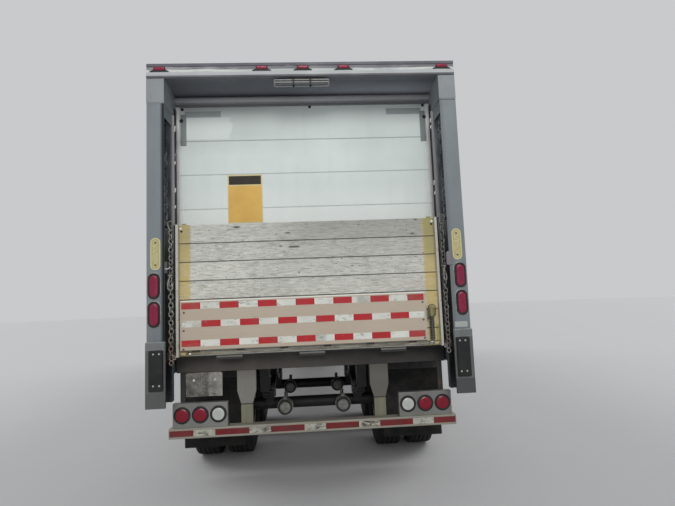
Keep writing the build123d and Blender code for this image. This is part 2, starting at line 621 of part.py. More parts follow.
# Bogie
def bogie():
    frame_y = (REAR_AXLE - BOGIE_OVERHANG, FRONT_AXLE + BOGIE_OVERHANG)
    rail_z = (BOGIE_RAIL_LOW, CROSS_LOW)
    rail_x = (BOGIE_RAIL_X - BOGIE_RAIL_WIDE / 2, BOGIE_RAIL_X + BOGIE_RAIL_WIDE / 2)
    rail = block(rail_x, frame_y, rail_z)
    spring_mid = REAR_AXLE + AXLE_SPREAD / 2
    between = AXLE_SPREAD / 2 - SPRING_REACH
    hangers = [
        (REAR_AXLE - SPRING_REACH, HANGER_HALF),
        (spring_mid, HANGER_HALF + between),
        (FRONT_AXLE + SPRING_REACH, HANGER_HALF),
    ]
    for y, half in hangers:
        top = half + HANGER_TOP_EXTRA
        shape = [(y - half, HANGER_LOW), (y + half, HANGER_LOW), (y + top, BOGIE_RAIL_LOW), (y - top, BOGIE_RAIL_LOW)]
        rail += side_profile(shape, rail_x)
    frame = rail + mirror(rail, about=Plane.YZ)
    for y, half in hangers:
        cross_y = (y - BOGIE_CROSS / 2, y + BOGIE_CROSS / 2)
        frame += block((-BOGIE_RAIL_X, BOGIE_RAIL_X), cross_y, (CROSS_LOW - BOGIE_CROSS, CROSS_LOW))
    save("bogie_frame", frame)

    springs = []
    axles = []
    for axle_y in (REAR_AXLE, FRONT_AXLE):
        half = [
            (AXLE_SEAT_HALF, SPRING_SEAT_Z),
            (SPRING_REACH - SPRING_TIP_FLAT / 2, HANGER_LOW - SPRING_TIP),
            (SPRING_REACH, HANGER_LOW - SPRING_TIP),
            (SPRING_REACH, HANGER_LOW),
            (SPRING_REACH - SPRING_TIP_FLAT, HANGER_LOW),
            (AXLE_SEAT_HALF, SPRING_SEAT_Z + SPRING_PACK),
        ]
        other = [(-y, z) for y, z in reversed(half)]
        shape = [(axle_y + y, z) for y, z in half + other]
        spring_x = (BOGIE_RAIL_X - SPRING_WIDE / 2, BOGIE_RAIL_X + SPRING_WIDE / 2)
        springs += right_and_left(side_profile(shape, spring_x))
        axles.append(axle(axle_y))
    save("leaf_springs", *springs)
    save("axles", *axles)

    bar_y = REAR_AXLE - FLAP_FROM_AXLE
    bar_z = (BOGIE_RAIL_LOW - FLAP_BAR, BOGIE_RAIL_LOW)
    bar = block((rail_x[0], HALF - RAIL_WEB), (bar_y - FLAP_BAR / 2, bar_y + FLAP_BAR / 2), bar_z)
    save("flap_bars", *right_and_left(bar))
    flap_y = (bar_y - FLAP_THICK / 2, bar_y + FLAP_THICK / 2)
    flap = block((HALF - RAIL_WEB - FLAP_WIDE, HALF - RAIL_WEB), flap_y, (FLAP_LOW, bar_z[0]))
    save("mud_flaps", *right_and_left(flap))


def axle(axle_y):
    tube_end = DUAL_X - DRUM_INNER_END
    beam = rod_x((-tube_end, tube_end), axle_y, TYRE_R, AXLE_TUBE_R)
    beam += rod_x((-DUAL_X - SPINDLE_END, DUAL_X + SPINDLE_END), axle_y, TYRE_R, SPINDLE_R)
    seat_x = (BOGIE_RAIL_X - BOGIE_RAIL_WIDE / 2, BOGIE_RAIL_X + BOGIE_RAIL_WIDE / 2)
    seat = block(seat_x, (axle_y - AXLE_SEAT_HALF, axle_y + AXLE_SEAT_HALF), (TYRE_R, SPRING_SEAT_Z))
    chamber_y = (axle_y - CHAMBER_BACK - CHAMBER_LONG, axle_y - CHAMBER_BACK)
    chamber = rod_y(CHAMBER_X, chamber_y, TYRE_R, CHAMBER_R)
    chamber += rod_y(CHAMBER_X, (chamber_y[1], axle_y), TYRE_R, SPINDLE_R)
    for piece in right_and_left(seat + chamber):
        beam += piece
    return beam


# Twin wheels
def tyre_section():
    """Half section of one tyre: X across it, Y the radius."""
    bead = RIM_WIDE / 2 - RIM_FLANGE_WIDE - SEAT_GAP
    wide = TYRE_WIDE / 2
    tread = TREAD_WIDE / 2
    shoulder = TYRE_R - SHOULDER_DROP
    half = [
        (bead, RIM_R + SEAT_GAP),
        (bead, RIM_FLANGE_R + SEAT_GAP),
        (wide, TYRE_BULGE_R),
        (tread, shoulder),
        (tread - SHOULDER_DROP, TYRE_R),
    ]
    other = [(-x, r) for x, r in reversed(half)]
    return outline(half + other)


def wheel_section():
    """Half section of the two rims with their discs, the hub and the brake drum."""
    offset = DUAL_SPACING / 2
    near = offset - RIM_WIDE / 2
    far = offset + RIM_WIDE / 2
    rim_in = RIM_R - RIM_METAL
    rim = [(near, rim_in), (far, rim_in), (far, RIM_FLANGE_R), (far - RIM_FLANGE_WIDE, RIM_FLANGE_R)]
    rim += [(far - RIM_FLANGE_WIDE, RIM_R), (near + RIM_FLANGE_WIDE, RIM_R)]
    rim += [(near + RIM_FLANGE_WIDE, RIM_FLANGE_R), (near, RIM_FLANGE_R)]
    disc = [(0, HUB_R), (DISC_METAL, HUB_R), (DISC_METAL, DISC_FLAT_R), (near + DISC_JOIN, rim_in)]
    disc += [(near, rim_in), (0, DISC_FLAT_R)]
    section = outline(rim) + outline(disc)
    section += mirror(section, about=Plane.YZ)
    bore = SPINDLE_R + BORE_GAP
    hub = [(-DRUM_INNER_END, bore), (SPINDLE_END, bore), (SPINDLE_END, 0), (HUB_CAP_OUT, 0)]
    hub += [(HUB_CAP_OUT, HUB_CAP_R), (SPINDLE_END, HUB_R), (-DRUM_WEB, HUB_R), (-DRUM_INNER_END, HUB_CAP_R)]
    drum = [(-DRUM_WEB, HUB_R), (0, HUB_R), (0, DISC_FLAT_R), (-DISC_METAL, DRUM_R), (-DRUM_INNER_END, DRUM_R)]
    drum += [(-DRUM_INNER_END, DRUM_R - DRUM_METAL), (-DRUM_WEB, DRUM_R - DRUM_METAL)]
    return section + outline(hub) + outline(drum)


def wheels():
    offset = DUAL_SPACING / 2
    for axle_name, axle_y in (("rear", REAR_AXLE), ("front", FRONT_AXLE)):
        place = Pos(DUAL_X, axle_y, TYRE_R)
        rims = place * revolve(wheel_section(), Axis.X)
        tyre = revolve(tyre_section(), Axis.X)
        pair = [place * Pos(side * offset, 0, 0) * tyre for side in (-1, 1)]
        save(f"rims_{axle_name}_right", rims)
        save(f"rims_{axle_name}_left", mirror(rims, about=Plane.YZ))
        save(f"tyres_{axle_name}_right", *pair)
        save(f"tyres_{axle_name}_left", *[mirror(one, about=Plane.YZ) for one in pair])


# Landing gear, coupler and front connections
def landing_gear():
    half = LEG_OUTER / 2
    leg_y = (LEG_Y - half, LEG_Y + half)
    leg = block((LEG_X - half, LEG_X + half), leg_y, (LEG_OUTER_LOW, CROSS_LOW))
    save("landing_legs", *right_and_left(leg))
    inner = LEG_INNER / 2
    foot_top = SHOE_THICK + FOOT_TALL
    foot = block((LEG_X - inner, LEG_X + inner), (LEG_Y - inner, LEG_Y + inner), (foot_top, LEG_OUTER_LOW))
    foot += block((LEG_X - FOOT_WIDE / 2, LEG_X + FOOT_WIDE / 2), (LEG_Y - inner, LEG_Y + inner), (SHOE_THICK, foot_top))
    shoe = SHOE / 2
    foot += block((LEG_X - shoe, LEG_X + shoe), (LEG_Y - shoe, LEG_Y + shoe), (0, SHOE_THICK))
    save("landing_feet", *right_and_left(foot))

    reach = LEG_BRACE_REACH
    low = LEG_OUTER_LOW + LEG_BRACE_RISE
    tall = LEG_BRACE_TALL
    back = leg_y[0]
    long_brace = [(back, low), (back, low + tall), (back - reach + tall, CROSS_LOW), (back - reach, CROSS_LOW)]
    braces = right_and_left(side_profile(long_brace, (LEG_X - LEG_BRACE_WIDE / 2, LEG_X + LEG_BRACE_WIDE / 2)))
    side = LEG_X - half
    cross_brace = [(side, low), (side - reach, CROSS_LOW), (side - reach + tall, CROSS_LOW), (side, low + tall)]
    brace_y = (LEG_Y - LEG_BRACE_WIDE / 2, LEG_Y + LEG_BRACE_WIDE / 2)
    braces += right_and_left(rear_profile(cross_brace, brace_y))
    save("landing_braces", *braces)

    shaft_y = LEG_Y + half - SHAFT_R - EDGE_GAP
    shaft_z = CROSS_LOW - SHAFT_DROP
    cross_shaft = rod_x((-side, side), shaft_y, shaft_z, SHAFT_R)
    outside = LEG_X + half
    crank = rod_x((-outside - CRANK_REACH, -outside), shaft_y, shaft_z, SHAFT_R)
    arm_x = -outside - CRANK_REACH
    crank += rod_z(arm_x, shaft_y, (shaft_z - CRANK_ARM, shaft_z + SHAFT_R), SHAFT_R)
    save("landing_crank", cross_shaft, crank)


def coupler():
    plate_y = (FRONT - COUPLER_FROM_FRONT[1], FRONT - COUPLER_FROM_FRONT[0])
    save("coupler_plate", block((-COUPLER_HALF, COUPLER_HALF), plate_y, (COUPLER_LOW, CROSS_LOW)))
    neck_top = COUPLER_LOW - KINGPIN_SHOULDER
    neck_low = neck_top - KINGPIN_NECK
    pin = rod_z(0, KINGPIN_Y, (neck_top, COUPLER_LOW), KINGPIN_COLLAR_R)
    pin += rod_z(0, KINGPIN_Y, (neck_low, neck_top), KINGPIN_NECK_R)
    pin += rod_z(0, KINGPIN_Y, (neck_low - KINGPIN_COLLAR, neck_low), KINGPIN_COLLAR_R)
    save("kingpin", pin)

    middle_z = (BOTTOM_RAIL_LOW + BOTTOM_RAIL_HIGH) / 2
    thick = CONNECTOR_PROUD / 2
    backing_x = (-CONNECTOR_X - CONNECTOR_PITCH - CONNECTOR_R, -CONNECTOR_X + CONNECTOR_PITCH + CONNECTOR_R)
    panel = block(backing_x, (FRONT, FRONT + thick), (middle_z - CONNECTOR_R, middle_z + CONNECTOR_R))
    for step in (-1, 0, 1):
        x = -CONNECTOR_X + step * CONNECTOR_PITCH
        panel += rod_y(x, (FRONT + thick, FRONT + CONNECTOR_PROUD), middle_z, CONNECTOR_R - EDGE_GAP)
    save("front_connectors", panel)


# Lift carriage
def carriage():
    runner = block(RUNNER_X, (RUNNER_REAR, RUNNER_REAR + RUNNER_DEEP), RUNNER_Z)
    pad_x = (RUNNER_X[0] + RUNNER_PAD_INSET, RUNNER_X[1] - RUNNER_PAD_INSET)
    pad_y = (COLUMN_FLANGE + PAD_GAP, COLUMN_BOX_REAR - PAD_GAP)
    for low in (RUNNER_Z[0] + RUNNER_PAD_INSET, RUNNER_Z[1] - RUNNER_PAD_INSET - RUNNER_PAD_TALL):
        runner += block(pad_x, pad_y, (low, low + RUNNER_PAD_TALL))
    plate_x = (CHAIN_X - CHAIN_WIDE / 2, RUNNER_X[0])
    plate_y = (ARM_REAR - ANCHOR_PLATE, ARM_REAR)
    runner += block(plate_x, plate_y, (CHAIN_TOP - ANCHOR_LOW + CHAIN_WIRE, CHAIN_TOP + CHAIN_WIDE / 2))
    pin_r = CHAIN_WIDE / 2 - CHAIN_WIRE - PAD_GAP
    pin_rear = CHAIN_Y - CHAIN_WIDE / 2
    runner += rod_y(CHAIN_X, (pin_rear, plate_y[0]), CHAIN_TOP, pin_r)
    save("lift_runners", *right_and_left(runner))

    beam = block((-ARM_INNER, ARM_INNER), BEAM_Y, BEAM_Z)
    for x in BEAM_TAB_X:
        tab_x = (x - BEAM_TAB_WIDE / 2, x + BEAM_TAB_WIDE / 2)
        beam += block(tab_x, BEAM_Y, (BEAM_Z[0] - BEAM_TAB_DEEP, BEAM_Z[0]))
    axis_y, axis_z = PLATFORM_AXIS
    lug_r = (BEAM_Z[1] - BEAM_Z[0]) / 2
    arm = block((ARM_RELIEF_X, RUNNER_X[0]), (ARM_REAR, BEAM_Y[1]), BEAM_Z)
    arm += block((ARM_INNER, ARM_RELIEF_X), (axis_y, BEAM_Y[1]), BEAM_Z)
    arm += rod_x((ARM_INNER, ARM_RELIEF_X), axis_y, (BEAM_Z[0] + BEAM_Z[1]) / 2, lug_r)
    arm -= rod_x((ARM_INNER, RUNNER_X[0]), axis_y, axis_z, PLATFORM_PIN_R + BORE_GAP)
    arm += rod_y(CHAIN_X, (pin_rear, ARM_REAR), CHAIN_BOTTOM, pin_r)
    for piece in right_and_left(arm):
        beam += piece
    save("carriage_beam", beam)

    chain = chain_run()
    save("lift_chains", *right_and_left(chain))


def chain_run():
    """Taut chain: links seen face on as rings, joined by links seen edge on."""
    half = CHAIN_PITCH / 2 + CHAIN_WIRE
    hole = CHAIN_WIDE / 2 - CHAIN_WIRE
    ring_y = (CHAIN_Y - CHAIN_WIRE / 2, CHAIN_Y + CHAIN_WIRE / 2)
    ring_x = (CHAIN_X - CHAIN_WIDE / 2, CHAIN_X + CHAIN_WIDE / 2)
    hole_x = (CHAIN_X - hole, CHAIN_X + hole)
    bar_x = (CHAIN_X - CHAIN_WIRE / 2, CHAIN_X + CHAIN_WIRE / 2)
    bar_y = (CHAIN_Y - CHAIN_WIDE / 2, CHAIN_Y + CHAIN_WIDE / 2)
    pieces = []
    for number in range(CHAIN_PAIRS + 1):
        z = CHAIN_BOTTOM + number * 2 * CHAIN_PITCH
        ring = block(ring_x, ring_y, (z - half, z + half))
        pieces.append(ring - block(hole_x, ring_y, (z - CHAIN_PITCH / 2, z + CHAIN_PITCH / 2)))
        if number < CHAIN_PAIRS:
            pieces.append(block(bar_x, bar_y, (z + CHAIN_PITCH / 2, z + CHAIN_PITCH * 3 / 2)))
    return pieces[0].fuse(*pieces[1:])


# Folding platform
def deck(y, low, skin_in_front):
    """Deck section: a skin of planks on one face, and ribs between pockets on the other."""
    plate = block((-DECK_HALF, DECK_HALF), y, (low, DECK_TOP_EDGE))
    pocket_y = (y[0], y[1] - DECK_SKIN) if skin_in_front else (y[0] + DECK_SKIN, y[1])
    pitch = (DECK_TOP_EDGE - low - DECK_RIB_WIDE) / DECK_RIBS
    for number in range(DECK_RIBS):
        z = low + DECK_RIB_WIDE + number * pitch
        pocket_x = (-DECK_INNER_HALF, DECK_INNER_HALF)
        plate -= block(pocket_x, pocket_y, (z, z + pitch - DECK_RIB_WIDE))
    face = y[1] if skin_in_front else y[0]
    groove_y = (face - PLANK_GROOVE_DEEP, face + PLANK_GROOVE_DEEP)
    groove_x = (-DECK_INNER_HALF, DECK_INNER_HALF)
    seam = DECK_TOP_EDGE - PLANK_TOP_EDGE
    while seam > low + PLANK_PITCH / 2:
        plate -= block(groove_x, groove_y, (seam - PLANK_GROOVE / 2, seam + PLANK_GROOVE / 2))
        seam -= PLANK_PITCH
    return plate


def fold_hinge(plate, own_x, other_x):
    """Adds this deck's lug at the fold axis, and opens the deck around the other deck's lug."""
    y, z = OUTER_AXIS
    gap_x = (other_x[0] - LUG_SIDE_GAP, other_x[1] + LUG_SIDE_GAP)
    plate -= rod_x(gap_x, y, z, LUG_R + LUG_SIDE_GAP)
    return plate + rod_x(own_x, y, z, LUG_R)


def platform():
    y, z = PLATFORM_AXIS
    rear = INNER_DECK_FRONT - DECK_THICK
    inner = deck((rear, INNER_DECK_FRONT), z, True)
    inner += rod_x((-DECK_HALF, DECK_HALF), y, z, HINGE_TUBE_R)
    pin_end = ARM_RELIEF_X
    fold_y, fold_z = OUTER_AXIS
    for side in (1, -1):
        own = sorted((side * INNER_LUG_X[0], side * INNER_LUG_X[1]))
        other = sorted((side * OUTER_LUG_X[0], side * OUTER_LUG_X[1]))
        inner = fold_hinge(inner, own, other)
        inner += rod_x(sorted((side * DECK_INNER_HALF, side * pin_end)), y, z, PLATFORM_PIN_R)
        bore = sorted((side * OUTER_LUG_X[0], side * (INNER_LUG_X[1] + LUG_SIDE_GAP)))
        inner -= rod_x(bore, fold_y, fold_z, OUTER_PIN_R + BORE_GAP)
    save("inner_deck", inner)

    outer = deck((OUTER_DECK_REAR, OUTER_DECK_FRONT), END_RAIL_Z[1], False)
    outer += block((-DECK_HALF, DECK_HALF), (END_RAIL_REAR, OUTER_DECK_FRONT), END_RAIL_Z)
    for side in (1, -1):
        own = sorted((side * OUTER_LUG_X[0], side * OUTER_LUG_X[1]))
        other = sorted((side * INNER_LUG_X[0], side * INNER_LUG_X[1]))
        outer = fold_hinge(outer, own, other)
        pin_x = sorted((side * OUTER_LUG_X[0], side * (INNER_LUG_X[1] + EDGE_GAP)))
        outer += rod_x(pin_x, fold_y, fold_z, OUTER_PIN_R)
        lug_x = sorted((side * RAMP_LUG_X[0], side * RAMP_LUG_X[1]))
        lug_rear = RAMP_AXIS[0] - 2 * RAMP_ROD_R
        lug = block(lug_x, (lug_rear, END_RAIL_REAR), END_RAIL_Z)
        outer += lug
        outer -= rod_x(lug_x, *RAMP_AXIS, RAMP_ROD_R + BORE_GAP)
    save("outer_deck", outer)
    bar_rear = OUTER_DECK_REAR - SIDE_BAR_PROUD
    bar_x = (DECK_INNER_HALF, DECK_HALF)
    bar_low = END_RAIL_Z[0] - SIDE_BAR_BELOW
    bar = block(bar_x, (bar_rear, OUTER_DECK_REAR), (bar_low, DECK_TOP_EDGE))
    bar += block(bar_x, (OUTER_DECK_REAR, OUTER_DECK_FRONT), (bar_low, END_RAIL_Z[0]))
    save("deck_side_bars", *right_and_left(bar))


def ramp():
    plate = block(RAMP_X, (RAMP_FRONT - RAMP_THICK, RAMP_FRONT), RAMP_Z)
    y, z = RAMP_AXIS
    lug_reach = ((2 * RAMP_ROD_R) ** 2 + (END_RAIL_Z[1] - z) ** 2) ** 0.5
    for side in (1, -1):
        notch_x = sorted((side * (RAMP_LUG_X[0] - LUG_SIDE_GAP), side * (RAMP_LUG_X[1] + LUG_SIDE_GAP)))
        plate -= rod_x(notch_x, y, z, lug_reach + LUG_SIDE_GAP)
    rod_half = RAMP_LUG_X[1] + RAMP_ROD_OVER
    plate += rod_x((-rod_half, rod_half), y, z, RAMP_ROD_R)
    pitch = (RAMP_X[1] - RAMP_X[0] - 2 * RAMP_KNUCKLE_WIDE * 2) / (RAMP_KNUCKLES - 1)
    for number in range(RAMP_KNUCKLES):
        x = RAMP_X[0] + RAMP_KNUCKLE_WIDE * 2 + number * pitch
        knuckle_x = (x - RAMP_KNUCKLE_WIDE / 2, x + RAMP_KNUCKLE_WIDE / 2)
        plate += block(knuckle_x, (y - RAMP_ROD_R, RAMP_FRONT), (z, RAMP_Z[0] + EDGE_GAP))
    save("ramp_plate", plate)
    spring_y = OUTER_DECK_REAR - RAMP_SPRING_R - EDGE_GAP
    spring_x = DECK_INNER_HALF - RAMP_SPRING_INSET
    spring_low = END_RAIL_Z[1] + RAMP_SPRING_RISE
    spring_high = spring_low + RAMP_SPRING_TALL
    spring = rod_z(spring_x, spring_y, (spring_low, spring_high), RAMP_SPRING_R)
    foot_x = (spring_x - RAMP_SPRING_FOOT / 2, spring_x + RAMP_SPRING_FOOT / 2)
    for low in (spring_low, spring_high - RAMP_SPRING_FOOT):
        spring += block(foot_x, (spring_y, OUTER_DECK_REAR), (low, low + RAMP_SPRING_FOOT))
    save("ramp_spring", spring)


os.makedirs("parts", exist_ok=True)
body_shell()
floor()
rear_frame()
roll_door()
columns()
hood()
lamps()
guard()
bogie()
wheels()
landing_gear()
coupler()
carriage()
platform()
ramp()
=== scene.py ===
import math
import random

import bmesh
import bpy
from mathutils import Matrix, Vector


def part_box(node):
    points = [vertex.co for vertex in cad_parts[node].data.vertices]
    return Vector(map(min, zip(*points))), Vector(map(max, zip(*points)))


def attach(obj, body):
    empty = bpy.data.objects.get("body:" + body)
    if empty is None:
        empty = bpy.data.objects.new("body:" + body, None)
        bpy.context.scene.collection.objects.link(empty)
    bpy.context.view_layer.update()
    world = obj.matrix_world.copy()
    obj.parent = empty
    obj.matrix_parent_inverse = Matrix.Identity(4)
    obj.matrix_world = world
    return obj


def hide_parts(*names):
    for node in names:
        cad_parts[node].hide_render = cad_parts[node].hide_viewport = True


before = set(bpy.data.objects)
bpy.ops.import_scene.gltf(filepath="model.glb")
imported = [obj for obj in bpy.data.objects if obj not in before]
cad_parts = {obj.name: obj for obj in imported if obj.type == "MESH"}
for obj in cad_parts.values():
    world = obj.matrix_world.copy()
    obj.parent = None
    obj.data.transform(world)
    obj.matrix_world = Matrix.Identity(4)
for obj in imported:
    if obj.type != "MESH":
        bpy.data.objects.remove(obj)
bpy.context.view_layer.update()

# Metres. X is to the right seen from behind, Y forward and Z up. Places along Y are given from the rear
# face of the lift columns, and piece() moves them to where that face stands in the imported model.
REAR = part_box("lift_columns")[0].y
BODY = "trailer_body"
CARRIAGE = "lift_carriage"
INNER = "inner_platform"
OUTER = "outer_platform"
RAMP = "ramp"
SIDES = (-1, 1)
HANDS = {1: "right", -1: "left"}
BACK = (0, -1, 0)
AHEAD = (0, 1, 0)
STILL = Matrix.Identity(4)
HALF_TURN = Matrix.Rotation(math.pi, 4, "Z")
INCH = 0.0254
PLANK = 6 * INCH
PLANK_SEAM = 2.157
DOOR_PANEL = 0.315
DOOR_SEAM = 3.137
OVAL = (1.225, 2.075)
AXLE_Y = {"front": 3.045, "rear": 1.8}
HUB_Z = 0.505
WALL_SHEET = 48 * INCH
WALL_RIVET_Z = [1.40 + number * 0.0605 for number in range(36)]
RAIL_RIVET_PITCH = 3 * INCH
CROSSMEMBER_PITCH = 0.305
# Tape along the rails and the guard: how far each colour starts into a run, and how long it is
TAPE_RUN = {"red": (0.0, 11 * INCH), "white": (11 * INCH, 7 * INCH)}
SIDE_TAPE_PITCH = 36 * INCH
GUARD_TAPE_PITCH = 18 * INCH
RAMP_TAPE = 6 * INCH
FINISHES = {}
dice = random.Random(7)

# Shades are given as on a paint card, 0 to 255
RUST = (112, 66, 38)
DUST = (126, 116, 102)
SOOT = (44, 43, 42)


def paint(shade):
    """Shader colour for a shade."""
    return [((c / 255 + 0.055) / 1.055) ** 2.4 if c > 10 else c / 255 / 12.92 for c in shade] + [1.0]


# Finishes
class Finish:
    """A surface finish: one shader, and the nodes that vary its colour from place to place."""

    def __init__(self, name, slot, colour, **values):
        self.material = bpy.data.materials.new(name)
        self.material.use_nodes = True
        self.nodes = self.material.node_tree.nodes
        self.slot = slot
        self.colour = colour
        self.relief = None
        for key, value in values.items():
            self.give(key.replace("_", " "), value)
        self.place = self.node("TexCoord").outputs["Object"]
        self.x, along, self.z = self.node("SeparateXYZ", {"Vector": self.place}).outputs
        self.y = self.sums("SUBTRACT", along, REAR)
        self.aside = self.sums("ABSOLUTE", self.x)
        FINISHES[name] = self

    def put(self, socket, value):
        if isinstance(value, bpy.types.NodeSocket):
            self.material.node_tree.links.new(value, socket)
        else:
            socket.default_value = value

    def give(self, key, value):
        self.put(self.nodes["Principled BSDF"].inputs[key], value)

    def node(self, kind, inputs=None, **settings):
        node = self.nodes.new("ShaderNode" + kind)
        for key, value in settings.items():
            setattr(node, key, value)
        for key, value in (inputs or {}).items():
            self.put(node.inputs[key], value)
        return node

    def noise(self, scale, detail=3, roughness=0.55, stretch=(1, 1, 1)):
        placed = self.node("Mapping", {"Vector": self.place, "Scale": stretch}).outputs[0]
        inputs = {"Vector": placed, "Scale": scale, "Detail": detail, "Roughness": roughness}
        return self.node("TexNoise", inputs).outputs[0]

    def cells(self, scale, randomness):
        inputs = {"Vector": self.place, "Scale": scale, "Randomness": randomness}
        return self.node("TexVoronoi", inputs).outputs[0]

    def sums(self, how, first, second=0.0):
        return self.node("Math", {0: first, 1: second}, operation=how).outputs[0]

    def times(self, first, *others):
        for other in others:
            first = self.sums("MULTIPLY", first, other)
        return first

    def rise(self, value, low, high, top=1.0, bottom=0.0):
        """Goes from bottom to top while a value goes from low to high, and stays there."""
        inputs = {"Value": value, "From Min": low, "From Max": high, "To Min": bottom, "To Max": top}
        return self.node("MapRange", inputs).outputs[0]

    def band(self, value, low, high, soft):
        """Is 1 between low and high, and fades out over a soft edge."""
        rising = self.rise(value, low - soft, low + soft)
        return self.times(rising, self.rise(value, high + soft, high - soft))

    def wavy(self, value, noise, reach):
        """A value that wanders by up to a reach, for ragged edges."""
        return self.sums("ADD", value, self.rise(noise, 0.3, 0.7, reach, -reach))

    def steps(self, value, start, pitch):
        """Number of the board or stave that a place belongs to, as a shade between 0 and 1."""
        number = self.sums("FLOOR", self.sums("DIVIDE", self.sums("SUBTRACT", value, start), pitch))
        return self.node("TexWhiteNoise", {"W": number}, noise_dimensions="1D").outputs[0]

    def mix(self, amount, first, second):
        first, second = (paint(shade) if isinstance(shade, tuple) else shade for shade in (first, second))
        return self.node("Mix", {0: amount, 6: first, 7: second}, data_type="RGBA").outputs[2]

    def layer(self, colour, *amounts):
        """Lays a colour over the last one, as much as all the amounts let through."""
        self.colour = self.mix(self.times(*amounts), self.colour, colour)

    def fade(self, colour, value, low, high, top=1.0, *amounts):
        self.layer(colour, self.rise(value, low, high, top), *amounts)

    def roughen(self, value, low, high):
        self.give("Roughness", self.rise(value, 0.3, 0.7, high, low))

    def raise_by(self, height, distance):
        inputs = {"Height": height, "Distance": distance}
        if self.relief:
            inputs["Normal"] = self.relief
        self.relief = self.node("Bump", inputs).outputs[0]

    def done(self):
        self.give("Base Color", self.colour)
        if self.relief:
            self.give("Normal", self.relief)


def painted(name, slot, colour, grime=DUST, rough=0.45, mottle=0.25, streak=0.3, specks=0.3, rust=0.0,
            dents=0.0, **values):
    """Painted or plated metal: mottled, streaked by rain, speckled with road dirt, and rusty in places."""
    new = Finish(name, slot, colour, **values)
    new.fade(grime, new.noise(1.3, 5), 0.38, 0.72, mottle)
    new.fade(grime, new.noise(11, 5, stretch=(1, 1, 0.07)), 0.5, 0.78, streak)
    fine = new.noise(95, 2)
    new.fade(grime, fine, 0.6, 0.74, specks)
    if rust:
        new.fade(RUST, new.noise(8, 8, 0.72), 0.6, 0.67, rust)
    new.roughen(new.noise(5, 4), rough - 0.08, rough + 0.14)
    new.raise_by(fine, 0.0006)
    if dents:
        new.raise_by(new.noise(1.7, 1), dents)
    return new


def white_panel():
    new = painted("white_panel", "white_panel", (226, 229, 228), rough=0.34, mottle=0.08, streak=0.05,
                  specks=0.08, dents=0.004)
    splash = new.rise(new.noise(22, 8, 0.7, (1, 1, 0.25)), 0.42, 0.75)
    new.fade(DUST, new.z, 1.8, 1.33, 0.35, splash)
    new.fade((160, 158, 152), new.noise(7, 4, stretch=(1, 1, 0.02)), 0.6, 0.75, 0.1)


def aluminium(name, colour, rough, clouding=1.0):
    """Mill-finish sheet: drawn lines along it, dull oxide clouds and grime."""
    new = Finish(name, "bare_aluminium", colour, Metallic=0.75)
    clouds = new.noise(2.2, 6, 0.65)
    lines = new.noise(260, 2, stretch=(0.02, 0.02, 1.0))
    new.fade((150, 152, 152), clouds, 0.35, 0.7, clouding)
    new.fade((120, 122, 124), lines, 0.35, 0.7, 0.25)
    new.fade(DUST, new.noise(13, 6, stretch=(1, 1, 0.2)), 0.55, 0.8, 0.5 * clouding)
    new.roughen(clouds, rough, rough + 0.18 * clouding)
    new.raise_by(lines, 0.0002)
    new.raise_by(new.noise(1.2, 1), 0.006)


def floor_wood():
    """Laminated hardwood floor: narrow staves lengthwise, each with its own tone."""
    new = Finish("floor_wood", "floor_wood", (150, 108, 66), Roughness=0.55)
    new.layer((104, 70, 42), new.steps(new.x, 0.0, 0.028))
    grain = new.noise(60, 5, stretch=(1, 0.04, 1))
    new.fade((72, 48, 30), grain, 0.4, 0.7, 0.5)
    new.fade(SOOT, new.noise(3, 5), 0.45, 0.75, 0.6)
    new.raise_by(grain, 0.0006)


def column_paint():
    """Grey paint outside with a paler cap, and greasy metal inside the channel, with painted shade and light
    on it.
    """
    new = painted("column_paint", "frame_grey", (124, 133, 138), (98, 103, 108), rough=0.42, mottle=0.35,
                  streak=0.35, specks=0.2, dents=0.004)
    new.fade((146, 151, 154), new.z, 3.325, 3.33, 0.6)
    new.fade((100, 105, 107), new.z, 1.9, 1.3, 0.4)
    # Painted shadow under the cap's lower edge, heavier on the right
    new.layer((46, 48, 52), new.band(new.z, 3.316, 3.326, 0.002), new.rise(new.x, -0.2, 0.2, 0.7, 0.2))
    new.fade((112, 108, 124), new.noise(9, 6, 0.7, (1.4, 1, 0.5)), 0.6, 0.66, 0.35)
    within = new.times(new.band(new.y, 0.0135, 0.2235, 0.001), new.rise(new.aside, 1.284, 1.287))
    behind = new.times(new.band(new.y, 0.222, 0.228, 0.001), new.band(new.aside, 1.1575, 1.2865, 0.0005))
    # Painted light: the channel's inner faces are lighter on the right column, as if lit from the left
    lit_rightward = new.rise(new.x, -0.1, 0.1)
    clean = new.mix(lit_rightward, (116, 119, 129), (150, 154, 164))
    greasy = new.mix(lit_rightward, (84, 85, 94), (106, 108, 117))
    inside = new.mix(new.rise(new.noise(16, 6, 0.7, (1, 1, 0.35)), 0.4, 0.62), clean, greasy)
    # Painted shade: the channel goes near black below the platform's top
    inside = new.mix(new.rise(new.z, 2.05, 2.5), (14, 14, 17), inside)
    new.layer(inside, new.sums("MAXIMUM", within, behind), new.rise(new.z, 3.216, 3.21, 1.0, 0.25), 0.94)
    worn = new.rise(new.noise(20, 6, stretch=(1, 1, 0.25)), 0.4, 0.6)
    lining = new.mix(worn, (196, 196, 198), (138, 138, 140))
    # Painted shade: the lining goes near black below the platform's top
    lining = new.mix(new.rise(new.z, 2.31, 2.36), (14, 15, 17), lining)
    new.layer(lining, new.rise(new.aside, 1.158, 1.1575), new.rise(new.y, 0.2225, 0.2235))
    # Painted shade on the column face's inner edge, as on the left column's rounded corner turned from the
    # light; weaker on the right, with less sheen in it
    edge = new.times(new.band(new.aside, 1.14, 1.21, 0.002), new.rise(new.aside, 1.19, 1.166, 0.97),
                     new.band(new.z, 1.38, 3.325, 0.002), new.rise(new.x, 1.0, -1.0, 1.0, 0.2))
    new.layer((26, 29, 34), edge, new.rise(new.y, 0.003, 0.0004))
    new.give("Specular IOR Level", new.rise(edge, 0.0, 1.0, 0.1, 0.5))


